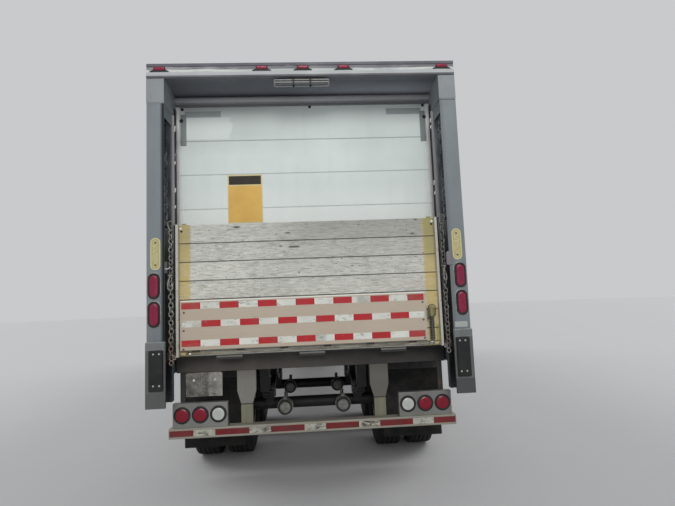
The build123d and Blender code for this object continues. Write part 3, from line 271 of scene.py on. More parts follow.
def hood_paint():
    """Grey paint: a pale worn lip, a darker ledge over it, chalky streaks between them, and painted shade on
    the lip's lower edge and the underside.
    """
    new = painted("hood_paint", "frame_grey", (150, 153, 156), (108, 110, 114), rough=0.5, mottle=0.35,
                  streak=0.15, dents=0.003)
    new.fade((110, 111, 117), new.z, 3.607, 3.612, 0.9)
    new.fade((90, 90, 99), new.z, 3.633, 3.637, 0.9)
    lip = new.band(new.z, 3.556, 3.609, 0.002)
    new.layer((192, 196, 198), lip, 0.88)
    new.fade((140, 143, 147), new.noise(30, 4, stretch=(0.03, 1, 1)), 0.5, 0.7, 0.35, lip)
    height = new.wavy(new.z, new.noise(3, 3, stretch=(1, 0.1, 0.1)), 0.007)
    worn = new.rise(new.noise(2.6, 7, 0.72, (1, 0.1, 4)), 0.44, 0.5)
    ends = new.rise(new.aside, 0.38, 0.62, 1.0, 0.3)
    new.layer((224, 228, 224), new.band(height, 3.592, 3.612, 0.003), worn, ends, 0.85)
    smears = new.rise(new.noise(5, 7, 0.7, (0.5, 0.1, 5)), 0.52, 0.6)
    new.layer((186, 188, 190), new.band(height, 3.606, 3.638, 0.004), smears, 0.5)
    # Painted shade: the lip's lower edge on its rear face takes the underside's dark colour
    new.fade((80, 83, 88), new.z, 3.558, 3.555, 0.92, new.rise(new.y, 0.004, 0.002))
    # Painted shade on the underside, lighter deeper in and towards the right
    deep = new.times(new.rise(new.y, 0.1, 0.28), new.rise(new.x, -0.2, 0.9, 1.0, 0.15))
    shade = new.mix(deep, (86, 89, 98), (158, 162, 172))
    new.fade(shade, new.z, 3.55, 3.548, 0.9, new.rise(new.y, 0.004, 0.01))


def boot_paint():
    """Dark grey box, its lid and its foot paler, with the upper edge worn to bare metal."""
    new = painted("boot_paint", "boot_grey", (98, 100, 100), (72, 73, 72), rough=0.42, mottle=0.4,
                  streak=0.45)
    new.fade((108, 113, 114), new.z, 1.3, 1.325, 0.9)
    foot = new.rise(new.z, 0.99, 0.985)
    new.layer((80, 82, 82), foot, 0.85)
    new.fade((56, 57, 58), new.x, 0.5, 1.0, 0.7, foot)
    new.fade((70, 71, 71), new.noise(9, 6, stretch=(1, 1, 0.2)), 0.5, 0.7, 0.35)
    wear = new.rise(new.noise(26, 5), 0.35, 0.6, 1.0, 0.4)
    new.fade((176, 180, 180), new.z, 1.374, 1.378, 1.0, wear)
    new.layer((150, 154, 154), new.band(new.z, 1.3165, 1.323, 0.001), new.rise(new.y, -0.0232, -0.0236), wear)


def seal_rubber():
    """Black rubber with its white backing showing where it is torn."""
    new = Finish("seal_rubber", "black_rubber", (26, 27, 28), Roughness=0.5, Specular_IOR_Level=0.25)
    torn = new.noise(14, 7, 0.72, (1, 1, 0.6))
    new.fade((206, 208, 204), torn, 0.6, 0.63, 0.9)
    new.raise_by(torn, 0.001)


def door_white():
    """White faced panels: faint handling marks, dirt caught in the seams, painted shadow of the hood at the
    top and painted light just above the platform.
    """
    new = painted("door_white", "door_white", (231, 241, 239), (184, 192, 186), rough=0.6, mottle=0.22,
                  streak=0.15, specks=0.12, dents=0.002)
    shadow_leftward = new.rise(new.x, 0.1, -0.5, 1.0, 0.35)
    # Painted shadow of the hood over the upper panels, heavier on the left
    new.fade((188, 196, 190), new.z, 3.0, 3.2, 0.4, shadow_leftward)
    new.fade((150, 154, 148), new.z, 3.38, 3.45, 0.35, shadow_leftward)
    # Painted light low down, against the shade of the folded platform
    new.fade((250, 255, 253), new.z, 2.72, 2.4, 0.7)
    across = new.wavy(new.x, new.noise(7, 4, stretch=(1, 1, 1.6)), 0.05)
    cleaned = new.band(new.z, 3.155, 3.36, 0.006)
    new.layer((234, 243, 240), new.band(across, -1.14, -0.68, 0.006), cleaned, 0.8)
    for number in range(6):
        seam = DOOR_SEAM - DOOR_PANEL * number
        new.layer((96, 102, 98), new.band(new.z, seam - 0.002, seam + 0.002, 0.003), 0.48 if number else 0.66)


def deck_plank():
    """Weathered aluminium planks: streaky grain along them, scuffs, gouges, and yellow edge stripes."""
    new = Finish("deck_plank", "deck_plank", (216, 217, 209))
    new.layer((206, 207, 199), new.steps(new.z, PLANK_SEAM - 20 * PLANK, PLANK))
    new.fade((166, 166, 160), new.noise(2.3, 5, stretch=(1, 1, 1.6)), 0.42, 0.68, 0.35)
    grain = new.noise(120, 5, 0.7, (0.1, 1, 1))
    broad = new.noise(30, 7, 0.7, (0.1, 1, 1))
    new.fade((134, 132, 124), grain, 0.5, 0.62, 0.62)
    new.fade((156, 155, 148), broad, 0.46, 0.66, 0.35)
    new.fade((232, 232, 224), new.noise(90, 5, 0.7, (0.12, 1, 1)), 0.52, 0.62, 0.65)
    new.fade((100, 98, 92), new.noise(120, 3, 0.6, (0.35, 1, 1)), 0.64, 0.68, 0.7)
    new.fade((140, 140, 136), new.z, 1.75, 2.31, 0.42, new.rise(new.x, -0.7, 0.15, 1.15, 0.15))
    new.fade((120, 120, 116), new.z, 2.156, 2.158, 0.25, new.rise(new.x, -0.5, 0.1))
    marks = new.noise(15, 9, 0.76, (0.4, 1, 1))
    across = new.wavy(new.x, new.noise(70, 4, stretch=(1, 1, 0.7)), 0.008)
    faded = new.times(new.rise(marks, 0.28, 0.66, 0.6, 1.0), new.rise(grain, 0.42, 0.66, 0.7, 1.0))
    for low, high in ((-1.052, -0.968), (0.956, 1.052)):
        new.layer((200, 174, 84), new.band(across, low, high, 0.003), faded)
    new.fade((150, 154, 98), new.z, 1.92, 2.02, 0.45, new.band(new.x, 0.97, 1.052, 0.012))
    new.fade((150, 146, 104), new.z, 1.95, 2.2, 0.45, new.rise(new.aside, 0.95, 0.97))
    new.layer((166, 162, 84), new.band(new.x, 1.026, 1.05, 0.002), new.band(new.z, 1.284, 1.42, 0.006), 0.9)
    new.fade((84, 82, 76), marks, 0.655, 0.68, 0.85)
    new.fade((66, 64, 58), new.noise(64, 3, stretch=(0.45, 1, 1)), 0.685, 0.71, 0.9)
    rear = new.rise(new.y, 0.0605, 0.0595)
    height = new.wavy(new.z, marks, 0.004)
    for low, high, spot, thick in (
            (-0.24, -0.222, 2.111, 0.008), (-0.164, -0.076, 2.106, 0.008), (-0.235, 0.004, 2.158, 0.004),
            (-0.61, -0.562, 2.281, 0.009), (0.89, 0.916, 2.3, 0.007), (0.86, 0.882, 2.182, 0.007),
            (-0.19, -0.15, 2.222, 0.006)):
        across = new.band(new.x, low, high, 0.012)
        new.layer((64, 62, 58), across, new.band(height, spot - thick, spot + thick, 0.003), rear, 0.85)
    faces = new.rise(new.sums("ABSOLUTE", new.sums("SUBTRACT", new.y, 0.111)), 0.0475, 0.0485)
    for number in range(6):
        seam = PLANK_SEAM - PLANK * number
        new.layer((54, 53, 50), new.band(new.z, seam - 0.0042, seam + 0.0042, 0.0016), faces, 0.88)
    # Darker at the foot of the rear face: grime, and painted shade in the gap above the ramp's rod
    new.fade((66, 60, 50), new.z, 1.3, 1.284, 0.85, rear)
    new.roughen(broad, 0.55, 0.72)
    new.raise_by(broad, 0.0012)
    new.raise_by(grain, 0.0008)


def ramp_metal():
    """Bare ramp sheet, drawn lengthwise, with a gap in painted shade and an ochre hinge rod under it."""
    new = painted("ramp_metal", "ramp_plate", (188, 174, 156), (160, 148, 132), rough=0.48, mottle=0.3,
                  streak=0.12, specks=0.25, dents=0.001)
    drawn = new.noise(150, 3, stretch=(0.03, 1, 1))
    new.fade((194, 188, 176), drawn, 0.45, 0.75, 0.3)
    new.fade((120, 113, 102), new.noise(20, 9, 0.75, (0.3, 1, 1)), 0.64, 0.68, 0.5)
    new.fade((240, 240, 234), new.z, 1.6835, 1.6855, 0.9)
    new.fade((70, 64, 52), new.z, 1.303, 1.3, 0.8)
    worn = new.rise(new.noise(18, 6, stretch=(0.4, 1, 1)), 0.4, 0.62)
    hinge = new.rise(new.z, 1.28, 1.279)
    new.layer(new.mix(worn, (150, 145, 132), (104, 97, 84)), hinge)
    new.fade((124, 112, 72), new.x, -0.6, -0.9, 0.6, hinge)
    # Painted shade in the gap between the leaf and its rod
    new.layer((34, 30, 24), new.band(new.z, 1.281, 1.2965, 0.001))
    new.raise_by(drawn, 0.0002)


def chain_steel():
    """Bare galvanised chain, rusty towards its lower end on the left, under painted shade that is heavier on
    the right.
    """
    new = Finish("chain_steel", "rusty_chain", (196, 196, 190), Metallic=0.3, Roughness=0.42)
    spots = new.noise(75, 5, 0.7)
    new.fade((118, 114, 106), spots, 0.4, 0.62)
    rusty = new.times(new.rise(new.x, 0.9, -0.9, 1.0, 0.3), new.rise(spots, 0.3, 0.5, 0.9, 0.3))
    new.fade((124, 94, 78), new.z, 1.62, 1.3, 1.0, rusty)
    new.fade((108, 86, 66), new.noise(30, 5), 0.6, 0.68, 0.5)
    # Painted shade over both chains, heavier on the right
    new.layer((84, 82, 80), new.rise(new.x, -0.5, 0.5, 0.5, 0.25))
    new.fade((96, 98, 100), new.z, 2.2, 2.3, 0.35)
    new.raise_by(spots, 0.0008)


def rubber(name, slot, colour, chalk, rough=0.62, scale=9):
    new = Finish(name, slot, colour, Specular_IOR_Level=0.25)
    dust = new.noise(scale, 7, 0.65)
    new.fade((104, 98, 90), dust, 0.42, 0.75, chalk)
    new.roughen(dust, rough, rough + 0.2)
    new.raise_by(new.noise(220, 2), 0.0004)


def lens(name, slot, colour, deep):
    """Moulded lens: small prisms behind a glossy face."""
    new = Finish(name, slot, colour, Roughness=0.24, Specular_IOR_Level=0.25, Coat_Weight=0.25,
                 Coat_Roughness=0.08)
    prisms = new.cells(130, 0.15)
    new.fade(deep, prisms, 0.15, 0.6)
    new.fade(DUST, new.noise(14, 5), 0.55, 0.8, 0.2)
    new.raise_by(prisms, 0.0008)


def tape(name, slot, colour, under, worn=0.62, chips=()):
    """Reflective tape: cell pattern, scuffs through to what is under it, and faded patches where given."""
    new = Finish(name, slot, colour, Roughness=0.4, Specular_IOR_Level=0.3)
    cells = new.cells(210, 0.05)
    new.fade(under, cells, 0.2, 0.62, 0.18)
    new.fade((118, 92, 84), new.noise(5, 6), 0.45, 0.75, 0.3)
    scuffs = new.noise(60, 9, 0.8, (0.35, 1, 1.2))
    new.fade(under, scuffs, worn - 0.08, worn - 0.05, 0.9, new.rise(new.noise(5.5, 3), 0.48, 0.62))
    new.fade(under, scuffs, worn, worn + 0.03, 0.85)
    flecks = new.rise(new.noise(420, 2), 0.46, 0.52, 0.5, 0.12)
    broken = new.rise(new.noise(9, 1), 0.36, 0.6, 1.0, 0.15)
    for low, high, bottom, top, mark in chips:
        new.layer(mark, new.band(new.x, low, high, 0.01), new.band(new.z, bottom, top, 0.005), broken, flecks)
    new.raise_by(cells, 0.0002)


def plate_yellow():
    """Faded yellow reflector sheet, flaking to white and orange, with a pale rim and a line inside it."""
    new = Finish("plate_yellow", "yellow_plate", (190, 186, 128), Roughness=0.42)
    patches = new.noise(60, 7, 0.72)
    new.fade((170, 156, 96), patches, 0.38, 0.6)
    new.fade((222, 222, 200), new.noise(120, 4, 0.7), 0.54, 0.58, 0.8)
    new.fade((176, 120, 74), new.noise(110, 5, 0.75), 0.6, 0.63, 0.7)
    new.fade((132, 140, 78), new.noise(90, 5, 0.75), 0.6, 0.64, 0.6)
    beside = new.sums("SUBTRACT", new.aside, OVAL[0])
    beyond = new.sums("SUBTRACT", new.sums("ABSOLUTE", new.sums("SUBTRACT", new.z, OVAL[1])), 0.09)
    beyond = new.sums("MAXIMUM", beyond, 0.0)
    reach = new.sums("ADD", new.times(beside, beside), new.times(beyond, beyond))
    new.fade((214, 210, 158), reach, 0.0009, 0.0011, 0.75)
    new.layer((178, 164, 100), new.band(reach, 0.0005, 0.00085, 0.0001))
    new.raise_by(patches, 0.0008)


def licence_metal():
    """Bare dented sheet, darker and scratched on its left, brighter on its right."""
    new = Finish("licence_metal", "bright_steel", (132, 130, 124), Metallic=0.3)
    blotch = new.noise(16, 7, 0.7)
    new.fade((82, 80, 76), blotch, 0.38, 0.64)
    new.fade((154, 153, 146), new.x, -0.884, -0.874, 0.6)
    smear = new.band(new.wavy(new.x, new.noise(7), 0.03), -1.0, -0.8, 0.05)
    new.fade((54, 52, 50), new.noise(20, 8, 0.75, (1, 1, 0.5)), 0.46, 0.62, 0.75, smear)
    new.fade((196, 194, 186), new.noise(90, 4), 0.6, 0.68, 0.6)
    new.roughen(blotch, 0.36, 0.55)
    new.raise_by(blotch, 0.0015)


def sign(name, colour, faded):
    new = Finish(name, "yellow_plate", colour, Roughness=0.42, Specular_IOR_Level=0.3)
    new.fade(faded, new.noise(6, 5), 0.35, 0.7)
    new.fade((226, 200, 140), new.noise(60, 3), 0.6, 0.75, 0.2)


def steel(name, colour, rough, metal=0.9, grime=0.5):
    new = Finish(name, "bright_steel", colour, Metallic=metal)
    blotch = new.noise(24, 7, 0.68)
    new.fade((84, 80, 74), blotch, 0.45, 0.7, grime)
    new.roughen(blotch, rough, rough + 0.25)
    new.raise_by(blotch, 0.0006)


white_panel()
aluminium("bare_aluminium", (184, 187, 189), 0.36)
aluminium("roof_sheet", (206, 208, 210), 0.42, 0.28)
floor_wood()
column_paint()
hood_paint()
boot_paint()
door_white()
seal_rubber()
deck_plank()
ramp_metal()
chain_steel()
plate_yellow()
licence_metal()

# Painted and plated metals: colour and grime, then how rough, mottled, streaked, specked, rusty and metallic
for name, slot, colour, grime, rough, mottle, streak, specks, rust, metal in (
        ("chassis_black", "chassis_black", (32, 32, 33), (66, 61, 55), 0.5, 0.4, 0.25, 0.3, 0.45, 0.0),
        ("lift_dark", "chassis_black", (46, 45, 44), (80, 74, 66), 0.5, 0.4, 0.3, 0.3, 0.3, 0.0),
        ("runner_dark", "chassis_black", (22, 22, 24), (54, 50, 45), 0.5, 0.3, 0.3, 0.3, 0.2, 0.0),
        ("tab_steel", "chassis_black", (160, 158, 150), (118, 114, 104), 0.4, 0.25, 0.3, 0.3, 0.0, 0.3),
        ("slot_steel", "rusty_chain", (150, 149, 154), (44, 43, 45), 0.34, 0.7, 0.7, 0.9, 0.0, 0.4),
        ("latch_paint", "boot_grey", (128, 124, 132), (92, 90, 94), 0.45, 0.4, 0.3, 0.3, 0.1, 0.0),
        ("coupling_blue", "boot_grey", (34, 66, 132), (60, 60, 60), 0.4, 0.25, 0.3, 0.3, 0.0, 0.0),
        ("header_paint", "frame_grey", (168, 169, 171), (128, 129, 131), 0.42, 0.4, 0.2, 0.3, 0.0, 0.0),
        ("jamb_grey", "frame_grey", (168, 168, 171), (120, 119, 122), 0.5, 0.4, 0.4, 0.3, 0.0, 0.0),
        ("guard_paint", "guard_grey", (148, 145, 134), (104, 99, 86), 0.48, 0.4, 0.35, 0.3, 0.12, 0.0),
        ("upright_paint", "guard_grey", (122, 121, 114), (98, 93, 80), 0.5, 0.35, 0.35, 0.3, 0.08, 0.0),
        ("sleeve_metal", "guard_grey", (122, 122, 104), (84, 82, 66), 0.42, 0.3, 0.6, 0.3, 0.08, 0.25),
        ("pod_metal", "guard_grey", (130, 131, 128), (84, 82, 77), 0.4, 0.55, 0.5, 0.3, 0.06, 0.3),
        ("track_white", "door_white", (250, 251, 249), (190, 188, 182), 0.42, 0.2, 0.2, 0.3, 0.06, 0.0),
        ("bar_white", "bar_white", (196, 193, 182), (112, 106, 94), 0.45, 0.25, 0.3, 0.9, 0.5, 0.0),
        ("rim_white", "rim_white", (222, 216, 198), (150, 138, 118), 0.4, 0.35, 0.1, 0.4, 0.35, 0.0),
        ("hub_black", "rim_white", (38, 38, 39), (76, 69, 60), 0.42, 0.4, 0.3, 0.3, 0.3, 0.0),
        ("label_white", "white_panel", (186, 193, 189), (112, 118, 114), 0.4, 0.5, 0.3, 0.7, 0.0, 0.0),
        ("cap_green", "yellow_plate", (138, 134, 88), (98, 92, 58), 0.4, 0.5, 0.3, 0.6, 0.0, 0.0)):
    painted(name, slot, colour, grime, rough, mottle, streak, specks, rust, Metallic=metal)
painted("sill_dark", "chassis_black", (60, 57, 53), (84, 78, 70), 0.6, 0.5, 0.5, rust=0.2, dents=0.004)

# Darker ends and sides, and painted shade under and behind things: colour, axis, where it starts and is full,
# and how much
for name, colour, axis, low, high, amount in (
        ("sill_dark", (30, 29, 28), "x", -0.2, 0.7, 0.85),
        # Painted shade on the lower part of the tab faces under the platform, so only a pale top edge shows
        # lit
        ("tab_steel", (38, 36, 33), "z", 1.224, 1.219, 0.93),
        ("latch_paint", (62, 62, 66), "x", 0.5, -0.5, 0.92),
        # Painted shadow below the header's tube
        ("header_paint", (60, 62, 64), "z", 3.478, 3.466, 0.62),
        ("upright_paint", (84, 81, 75), "x", -0.3, 0.4, 0.8),
        # Painted shade at the top of the uprights, under the sill
        ("upright_paint", (60, 58, 54), "z", 1.0, 1.09, 0.45),
        # Painted shade on the tracks' lower length, behind the folded platform
        ("track_white", (58, 58, 60), "z", 2.35, 2.31, 0.8)):
    look = FINISHES[name]
    look.fade(colour, look.x if axis == "x" else look.z, low, high, amount)
upright = FINISHES["upright_paint"]
upright.layer((50, 48, 44), upright.band(upright.z, 0.803, 0.817, 0.002))
slot_links = FINISHES["slot_steel"]
bright_ends = slot_links.rise(slot_links.noise(5, 1), 0.6, 0.52, 0.95, 0.1)
slot_links.fade((58, 59, 64), slot_links.z, 2.6, 2.8, 1.0, bright_ends)

rubber("pad_rubber", "black_rubber", (28, 30, 31), 0.12, 0.36)
rubber("flap_rubber", "black_rubber", (18, 18, 19), 0.22)
rubber("grommet_rubber", "boot_grey", (27, 30, 32), 0.2, 0.42)
rubber("tyre_rubber", "tyre_rubber", (33, 33, 34), 0.22, 0.66, 26)
rubber("sign_black", "black_rubber", (44, 36, 24), 0.15, 0.4)
sign("sign_yellow", (236, 190, 92), (224, 178, 86))
sign("sign_cream", (226, 214, 160), (214, 200, 144))

lens("red_lens", "red_lens", (178, 42, 82), (122, 20, 54))
# Stop lamp red: a deep red, darkened further as painted shade for the pods under the trailer
lens("round_red", "red_lens", (158, 13, 44), (100, 4, 26))
lens("marker_red", "red_lens", (190, 62, 96), (138, 28, 58))
lens("coupling_red", "red_lens", (168, 32, 30), (120, 20, 20))
lens("white_lens", "white_lens", (214, 218, 212), (156, 161, 157))
lens("lamp_glass", "white_lens", (128, 131, 137), (98, 101, 108))
lens("amber_lens", "amber_lens", (226, 132, 30), (170, 80, 12))

RED_CHIPS = [(-1.04, -0.9, 1.6, 1.7, (150, 112, 100)), (-1.04, -0.87, 1.3, 1.4, (156, 122, 110)),
             (0.8, 0.94, 1.3, 1.4, (146, 96, 92)), (0.78, 0.94, 1.6, 1.7, (112, 104, 92)),
             (0.36, 0.6, 1.3, 1.4, (120, 60, 50))]
WHITE_CHIPS = [(0.38, 0.66, 1.62, 1.68, (86, 92, 80)), (-0.95, -0.7, 1.48, 1.53, (120, 118, 104)),
               (-0.1, 0.12, 1.3, 1.4, (70, 68, 60))]
tape("tape_red", "red_lens", (184, 20, 34), (156, 84, 80), chips=RED_CHIPS)
tape("tape_white", "white_lens", (228, 233, 224), (104, 102, 90), chips=WHITE_CHIPS)
# The guard's tapes: darker than the red and white above as painted shade for their place under the trailer,
# and more worn
tape("guard_red", "red_lens", (114, 16, 26), (72, 54, 52), 0.56)
tape("guard_white", "white_lens", (184, 186, 174), (60, 56, 48), 0.54)
tape("tape_silver", "guard_grey", (166, 176, 176), (140, 149, 149))
tape("tape_grey", "guard_grey", (136, 143, 145), (116, 122, 122))

steel("bright_steel", (206, 206, 202), 0.28)
steel("wire_grey", (176, 178, 176), 0.4, 0.3, 0.3)
steel("dull_steel", (150, 150, 146), 0.42, 0.75, 0.7)
steel("dark_steel", (70, 68, 66), 0.45, 0.6, 0.7)
steel("spring_steel", (96, 93, 92), 0.4, 0.5, 0.7)

pale = Finish("studio_floor", "white_panel", (190, 191, 193), Roughness=0.85)
pale.layer((186, 187, 189), pale.noise(0.6, 4))

for finish in FINISHES.values():
    finish.done()


# Shapes
def soften(bm, edges, size, segments=2, **more):
    """Rounds edges."""
    bmesh.ops.bevel(bm, geom=list(edges), offset=size, segments=segments, profile=0.5, affect="EDGES",
                    material=-1, **more)


def slab(bm, x, y, z, edge=0.0, segments=2):
    """Block given by its ends along each axis, with its edges rounded."""
    made = bmesh.ops.create_cube(bm, size=1.0)["verts"]
    bmesh.ops.scale(bm, vec=[high - low for low, high in (x, y, z)], verts=made)
    bmesh.ops.translate(bm, vec=[(low + high) / 2 for low, high in (x, y, z)], verts=made)
    if edge:
        soften(bm, {e for v in made for e in v.link_edges}, edge, segments)


def about(middle, half):
    """Ends of a block along one axis, from its middle."""
    return middle - half, middle + half


def facing(direction):
    """Turns a shape that points up so that it points along a direction."""
    return Vector(direction).to_track_quat("Z", "Y").to_matrix().to_4x4()


def rod(bm, start, end, radius, sides=20, tip=None):
    """Round bar between two points, tapered where its far end has another radius."""
    start, end = Vector(start), Vector(end)
    place = Matrix.Translation((start + end) / 2) @ facing(end - start)
    bmesh.ops.create_cone(bm, cap_ends=True, segments=sides, radius1=radius, radius2=tip or radius,
                          depth=(end - start).length, matrix=place)


def oval(bm, x, y, z, wide, tall, height, *steps, sides=40):
    """Oval solid that faces backwards. Each step draws its front in by one size and out by the other."""
    place = Matrix.Translation((x, y, z)) @ Matrix.Rotation(math.pi / 2, 4, "X")
    made = bmesh.ops.create_circle(bm, cap_ends=True, segments=sides, radius=min(wide, tall) / 2,
                                   matrix=place)["verts"]
    axis = 2 if tall > wide else 0
    for vert in made:
        away = vert.co[axis] - (x, y, z)[axis]
        if abs(away) > 1e-6:
            vert.co[axis] += math.copysign(abs(tall - wide) / 2, away)
    face = made[0].link_faces[0]
    face.normal_update()
    ahead = face.normal.copy()
    raised = bmesh.ops.extrude_face_region(bm, geom=[face])["geom"]
    front = next(item for item in raised if isinstance(item, bmesh.types.BMFace))
    bmesh.ops.translate(bm, vec=ahead * height, verts=front.verts)
    for inset, rise in steps:
        bmesh.ops.inset_region(bm, faces=[front], thickness=inset, depth=rise, use_even_offset=True)


def spin(bm, verts, edges, axis, steps):
    """Turns a section all the way round an axis through the origin."""
    bmesh.ops.spin(bm, geom=verts + edges, cent=(0, 0, 0), axis=axis, angle=math.tau, steps=steps,
                   use_merge=True)
    bmesh.ops.remove_doubles(bm, verts=bm.verts, dist=1e-6)


def turned(profile, steps, closed=True):
    """Shape turned about the X axis from the (along, radius) points of its section."""
    bm = bmesh.new()
    verts = [bm.verts.new((along, 0, radius)) for along, radius in profile]
    edges = [bm.edges.new(pair) for pair in zip(verts, verts[1:] + verts[:1] if closed else verts[1:])]
    spin(bm, verts, edges, (1, 0, 0), steps)
    return bm


def ring(radius, wire, sides, steps):
    """Ring of round bar that faces backwards."""
    bm = bmesh.new()
    place = Matrix.Translation((radius, 0, 0))
    verts = bmesh.ops.create_circle(bm, segments=sides, radius=wire, matrix=place)["verts"]
    spin(bm, verts, list({e for v in verts for e in v.link_edges}), (0, 1, 0), steps)
    return bm


def template(bm):
    """Mesh to be stamped into other shapes."""
    if bm.faces:
        bmesh.ops.recalc_face_normals(bm, faces=bm.faces)
    mesh = bpy.data.meshes.new("template")
    bm.to_mesh(mesh)
    bm.free()
    return mesh


def stamp(bm, mesh, place):
    copy = mesh.copy()
    copy.transform(place)
    bm.from_mesh(copy)
    bpy.data.meshes.remove(copy)


def bent_bar(bm, path, thick, closed=False, sides=2, order=3):
    """Round bar along a smooth line through control points."""
    curve = bpy.data.curves.new("bar", "CURVE")
    curve.dimensions = "3D"
    spline = curve.splines.new("NURBS")
    spline.points.add(len(path) - 1)
    for point, spot in zip(spline.points, path):
        point.co = (*spot, 1)
    spline.order_u = order
    spline.use_cyclic_u = closed
    spline.use_endpoint_u = not closed
    spline.resolution_u = 5
    curve.bevel_depth = thick
    curve.bevel_resolution = sides
    curve.use_fill_caps = not closed
    holder = bpy.data.objects.new("bar", curve)
    bm.from_mesh(bpy.data.meshes.new_from_object(holder))
    bpy.data.objects.remove(holder)


def both_sides(bm):
    """Adds the mirror image of everything so far."""
    bmesh.ops.mirror(bm, geom=bm.verts[:] + bm.edges[:] + bm.faces[:], axis="X", merge_dist=-1)


def show(name, data):
    """Puts a camera, a lamp or a mesh into the scene."""
    made = bpy.data.objects.new(name, data)
    bpy.context.scene.collection.objects.link(made)
    return made


def piece(name, bm, finish, body=BODY, stands_for=(), bend=38, moved=True):
    """Finished piece: normals outwards, hard edges kept, in its place and riding on its body."""
    bmesh.ops.recalc_face_normals(bm, faces=bm.faces)
    if moved:
        bmesh.ops.translate(bm, vec=(0, REAR, 0), verts=bm.verts)
    for face in bm.faces:
        face.smooth = True
    for edge in bm.edges:
        if len(edge.link_faces) != 2 or edge.calc_face_angle() > math.radians(bend):
            edge.smooth = False
    mesh = bpy.data.meshes.new(name)
    bm.to_mesh(mesh)
    bm.free()
    mesh.materials.append(FINISHES[finish].material)
    made = show(name, mesh)
    made.modifiers.new("even_shading", "WEIGHTED_NORMAL").keep_sharp = True
    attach(made, body)
    if stands_for:
        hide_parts(*stands_for)


def blocks(name, finish, *slabs, body=BODY, stands_for=(), mirrored=False):
    """Piece made of blocks, each given as for slab()."""
    bm = bmesh.new()
    for block in slabs:
        slab(bm, *block)
    if mirrored:
        both_sides(bm)
    piece(name, bm, finish, body, stands_for)


def merged(node):
    """Copy of a CAD part's mesh with its loose triangles joined into faces."""
    bm = bmesh.new()
    bm.from_mesh(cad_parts[node].data)
    bmesh.ops.remove_doubles(bm, verts=bm.verts, dist=1e-5)
    bmesh.ops.dissolve_limit(bm, angle_limit=math.radians(0.5), verts=bm.verts, edges=bm.edges,
                             delimit={"NORMAL"})
    return bm


def hard_edges(bm, angle):
    return [e for e in bm.edges if len(e.link_faces) == 2 and e.calc_face_angle() > math.radians(angle)]


def rounded(finish, edge, *nodes, body=BODY, segments=2):
    """CAD parts with their sharp edges rounded."""
    for node in nodes:
        bm = merged(node)
        if edge:
            soften(bm, hard_edges(bm, 40), edge, segments, clamp_overlap=True)
        piece("rounded_" + node, bm, finish, body, (node,), moved=False)


def dress(finish, *nodes):
    """Gives CAD parts that keep their shape a finish."""
    for node in nodes:
        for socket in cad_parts[node].material_slots:
            socket.material = FINISHES[finish].material


def box(node):
    """Ends of a CAD part along each axis, with Y from the rear face of the columns."""
    low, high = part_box(node)
    return (low.x, high.x), (low.y - REAR, high.y - REAR), (low.z, high.z)


def make_rivet():
    bm = bmesh.new()
    rod(bm, (0, 0, -0.0004), (0, 0, 0.0022), 0.0055, 8, 0.00275)
    return template(bm)


def make_bolt(radius, height, washer=0.0):
    """Six-sided head with a washer under it."""
    bm = bmesh.new()
    rod(bm, (0, 0, washer), (0, 0, washer + height), radius, 6, radius * 0.94)
    if washer:
        rod(bm, (0, 0, -0.001), (0, 0, washer), radius * 1.5, 16, radius * 1.45)
    return template(bm)


def make_button(radius, height):
    """Round domed screw or rivet head."""
    bm = bmesh.new()
    half = height / 2
    rod(bm, (0, 0, -0.0005), (0, 0, half), radius, 14, radius * 0.86)
    rod(bm, (0, 0, half), (0, 0, height), radius * 0.86, 14, radius * 0.5)
    bmesh.ops.remove_doubles(bm, verts=bm.verts, dist=1e-6)
    inner = [f for f in bm.faces if len(f.verts) == 14 and abs(f.calc_center_median().z - half) < 1e-5]
    bmesh.ops.delete(bm, geom=inner, context="FACES_ONLY")
    return template(bm)


def fasteners(name, shape, places, direction, finish, body=BODY):
    """The same fastener at many places, all pointing one way."""
    bm = bmesh.new()
    for spot in places:
        stamp(bm, shape, Matrix.Translation(spot) @ facing(direction))
    piece(name, bm, finish, body)


def twins(x, y, z):
    """A place on each side."""
    return [(side * x, y, z) for side in SIDES]


# Camera and light
def stand_camera():
    """Stands behind the trailer at head height, looking slightly up and to the right, with a small roll."""
    yaw, pitch, roll = 0.0585, 0.0985, -0.0399
    ahead = Vector((math.sin(yaw) * math.cos(pitch), math.cos(yaw) * math.cos(pitch), math.sin(pitch)))
    right = Vector((math.cos(yaw), -math.sin(yaw), 0))
    up = right.cross(ahead)
    level_right = right * math.cos(roll) + up * math.sin(roll)
    level_up = up * math.cos(roll) - right * math.sin(roll)
    turn = Matrix((level_right, level_up, -ahead)).transposed().to_4x4()
    view = bpy.data.cameras.new("camera")
    view.sensor_width = 36.0
    view.lens = 25.403
    view.clip_end = 300.0
    camera = show("camera", view)
    camera.matrix_world = Matrix.Translation((0.0061, REAR - 3.8623, 1.6508)) @ turn
    bpy.context.scene.camera = camera


def light_sky():
    """Even sky, brighter where it is seen straight, mirrored or through glass than as light."""
    world = bpy.data.worlds.new("studio")
    bpy.context.scene.world = world
    world.use_nodes = True
    nodes = world.node_tree.nodes
    links = world.node_tree.links
    sky = nodes["Background"]
    sky.inputs["Color"].default_value = (0.97, 0.98, 1.0, 1.0)
    rays = nodes.new("ShaderNodeLightPath").outputs
    seen = rays["Is Camera Ray"]
    for kind in ("Is Glossy Ray", "Is Transmission Ray"):
        either = nodes.new("ShaderNodeMath")
        either.operation = "MAXIMUM"
        links.new(seen, either.inputs[0])
        links.new(rays[kind], either.inputs[1])
        seen = either.outputs[0]
    strength = nodes.new("ShaderNodeMapRange")
    strength.inputs["To Min"].default_value = 0.38
    strength.inputs["To Max"].default_value = 0.6
    links.new(seen, strength.inputs["Value"])
    links.new(strength.outputs[0], sky.inputs["Strength"])


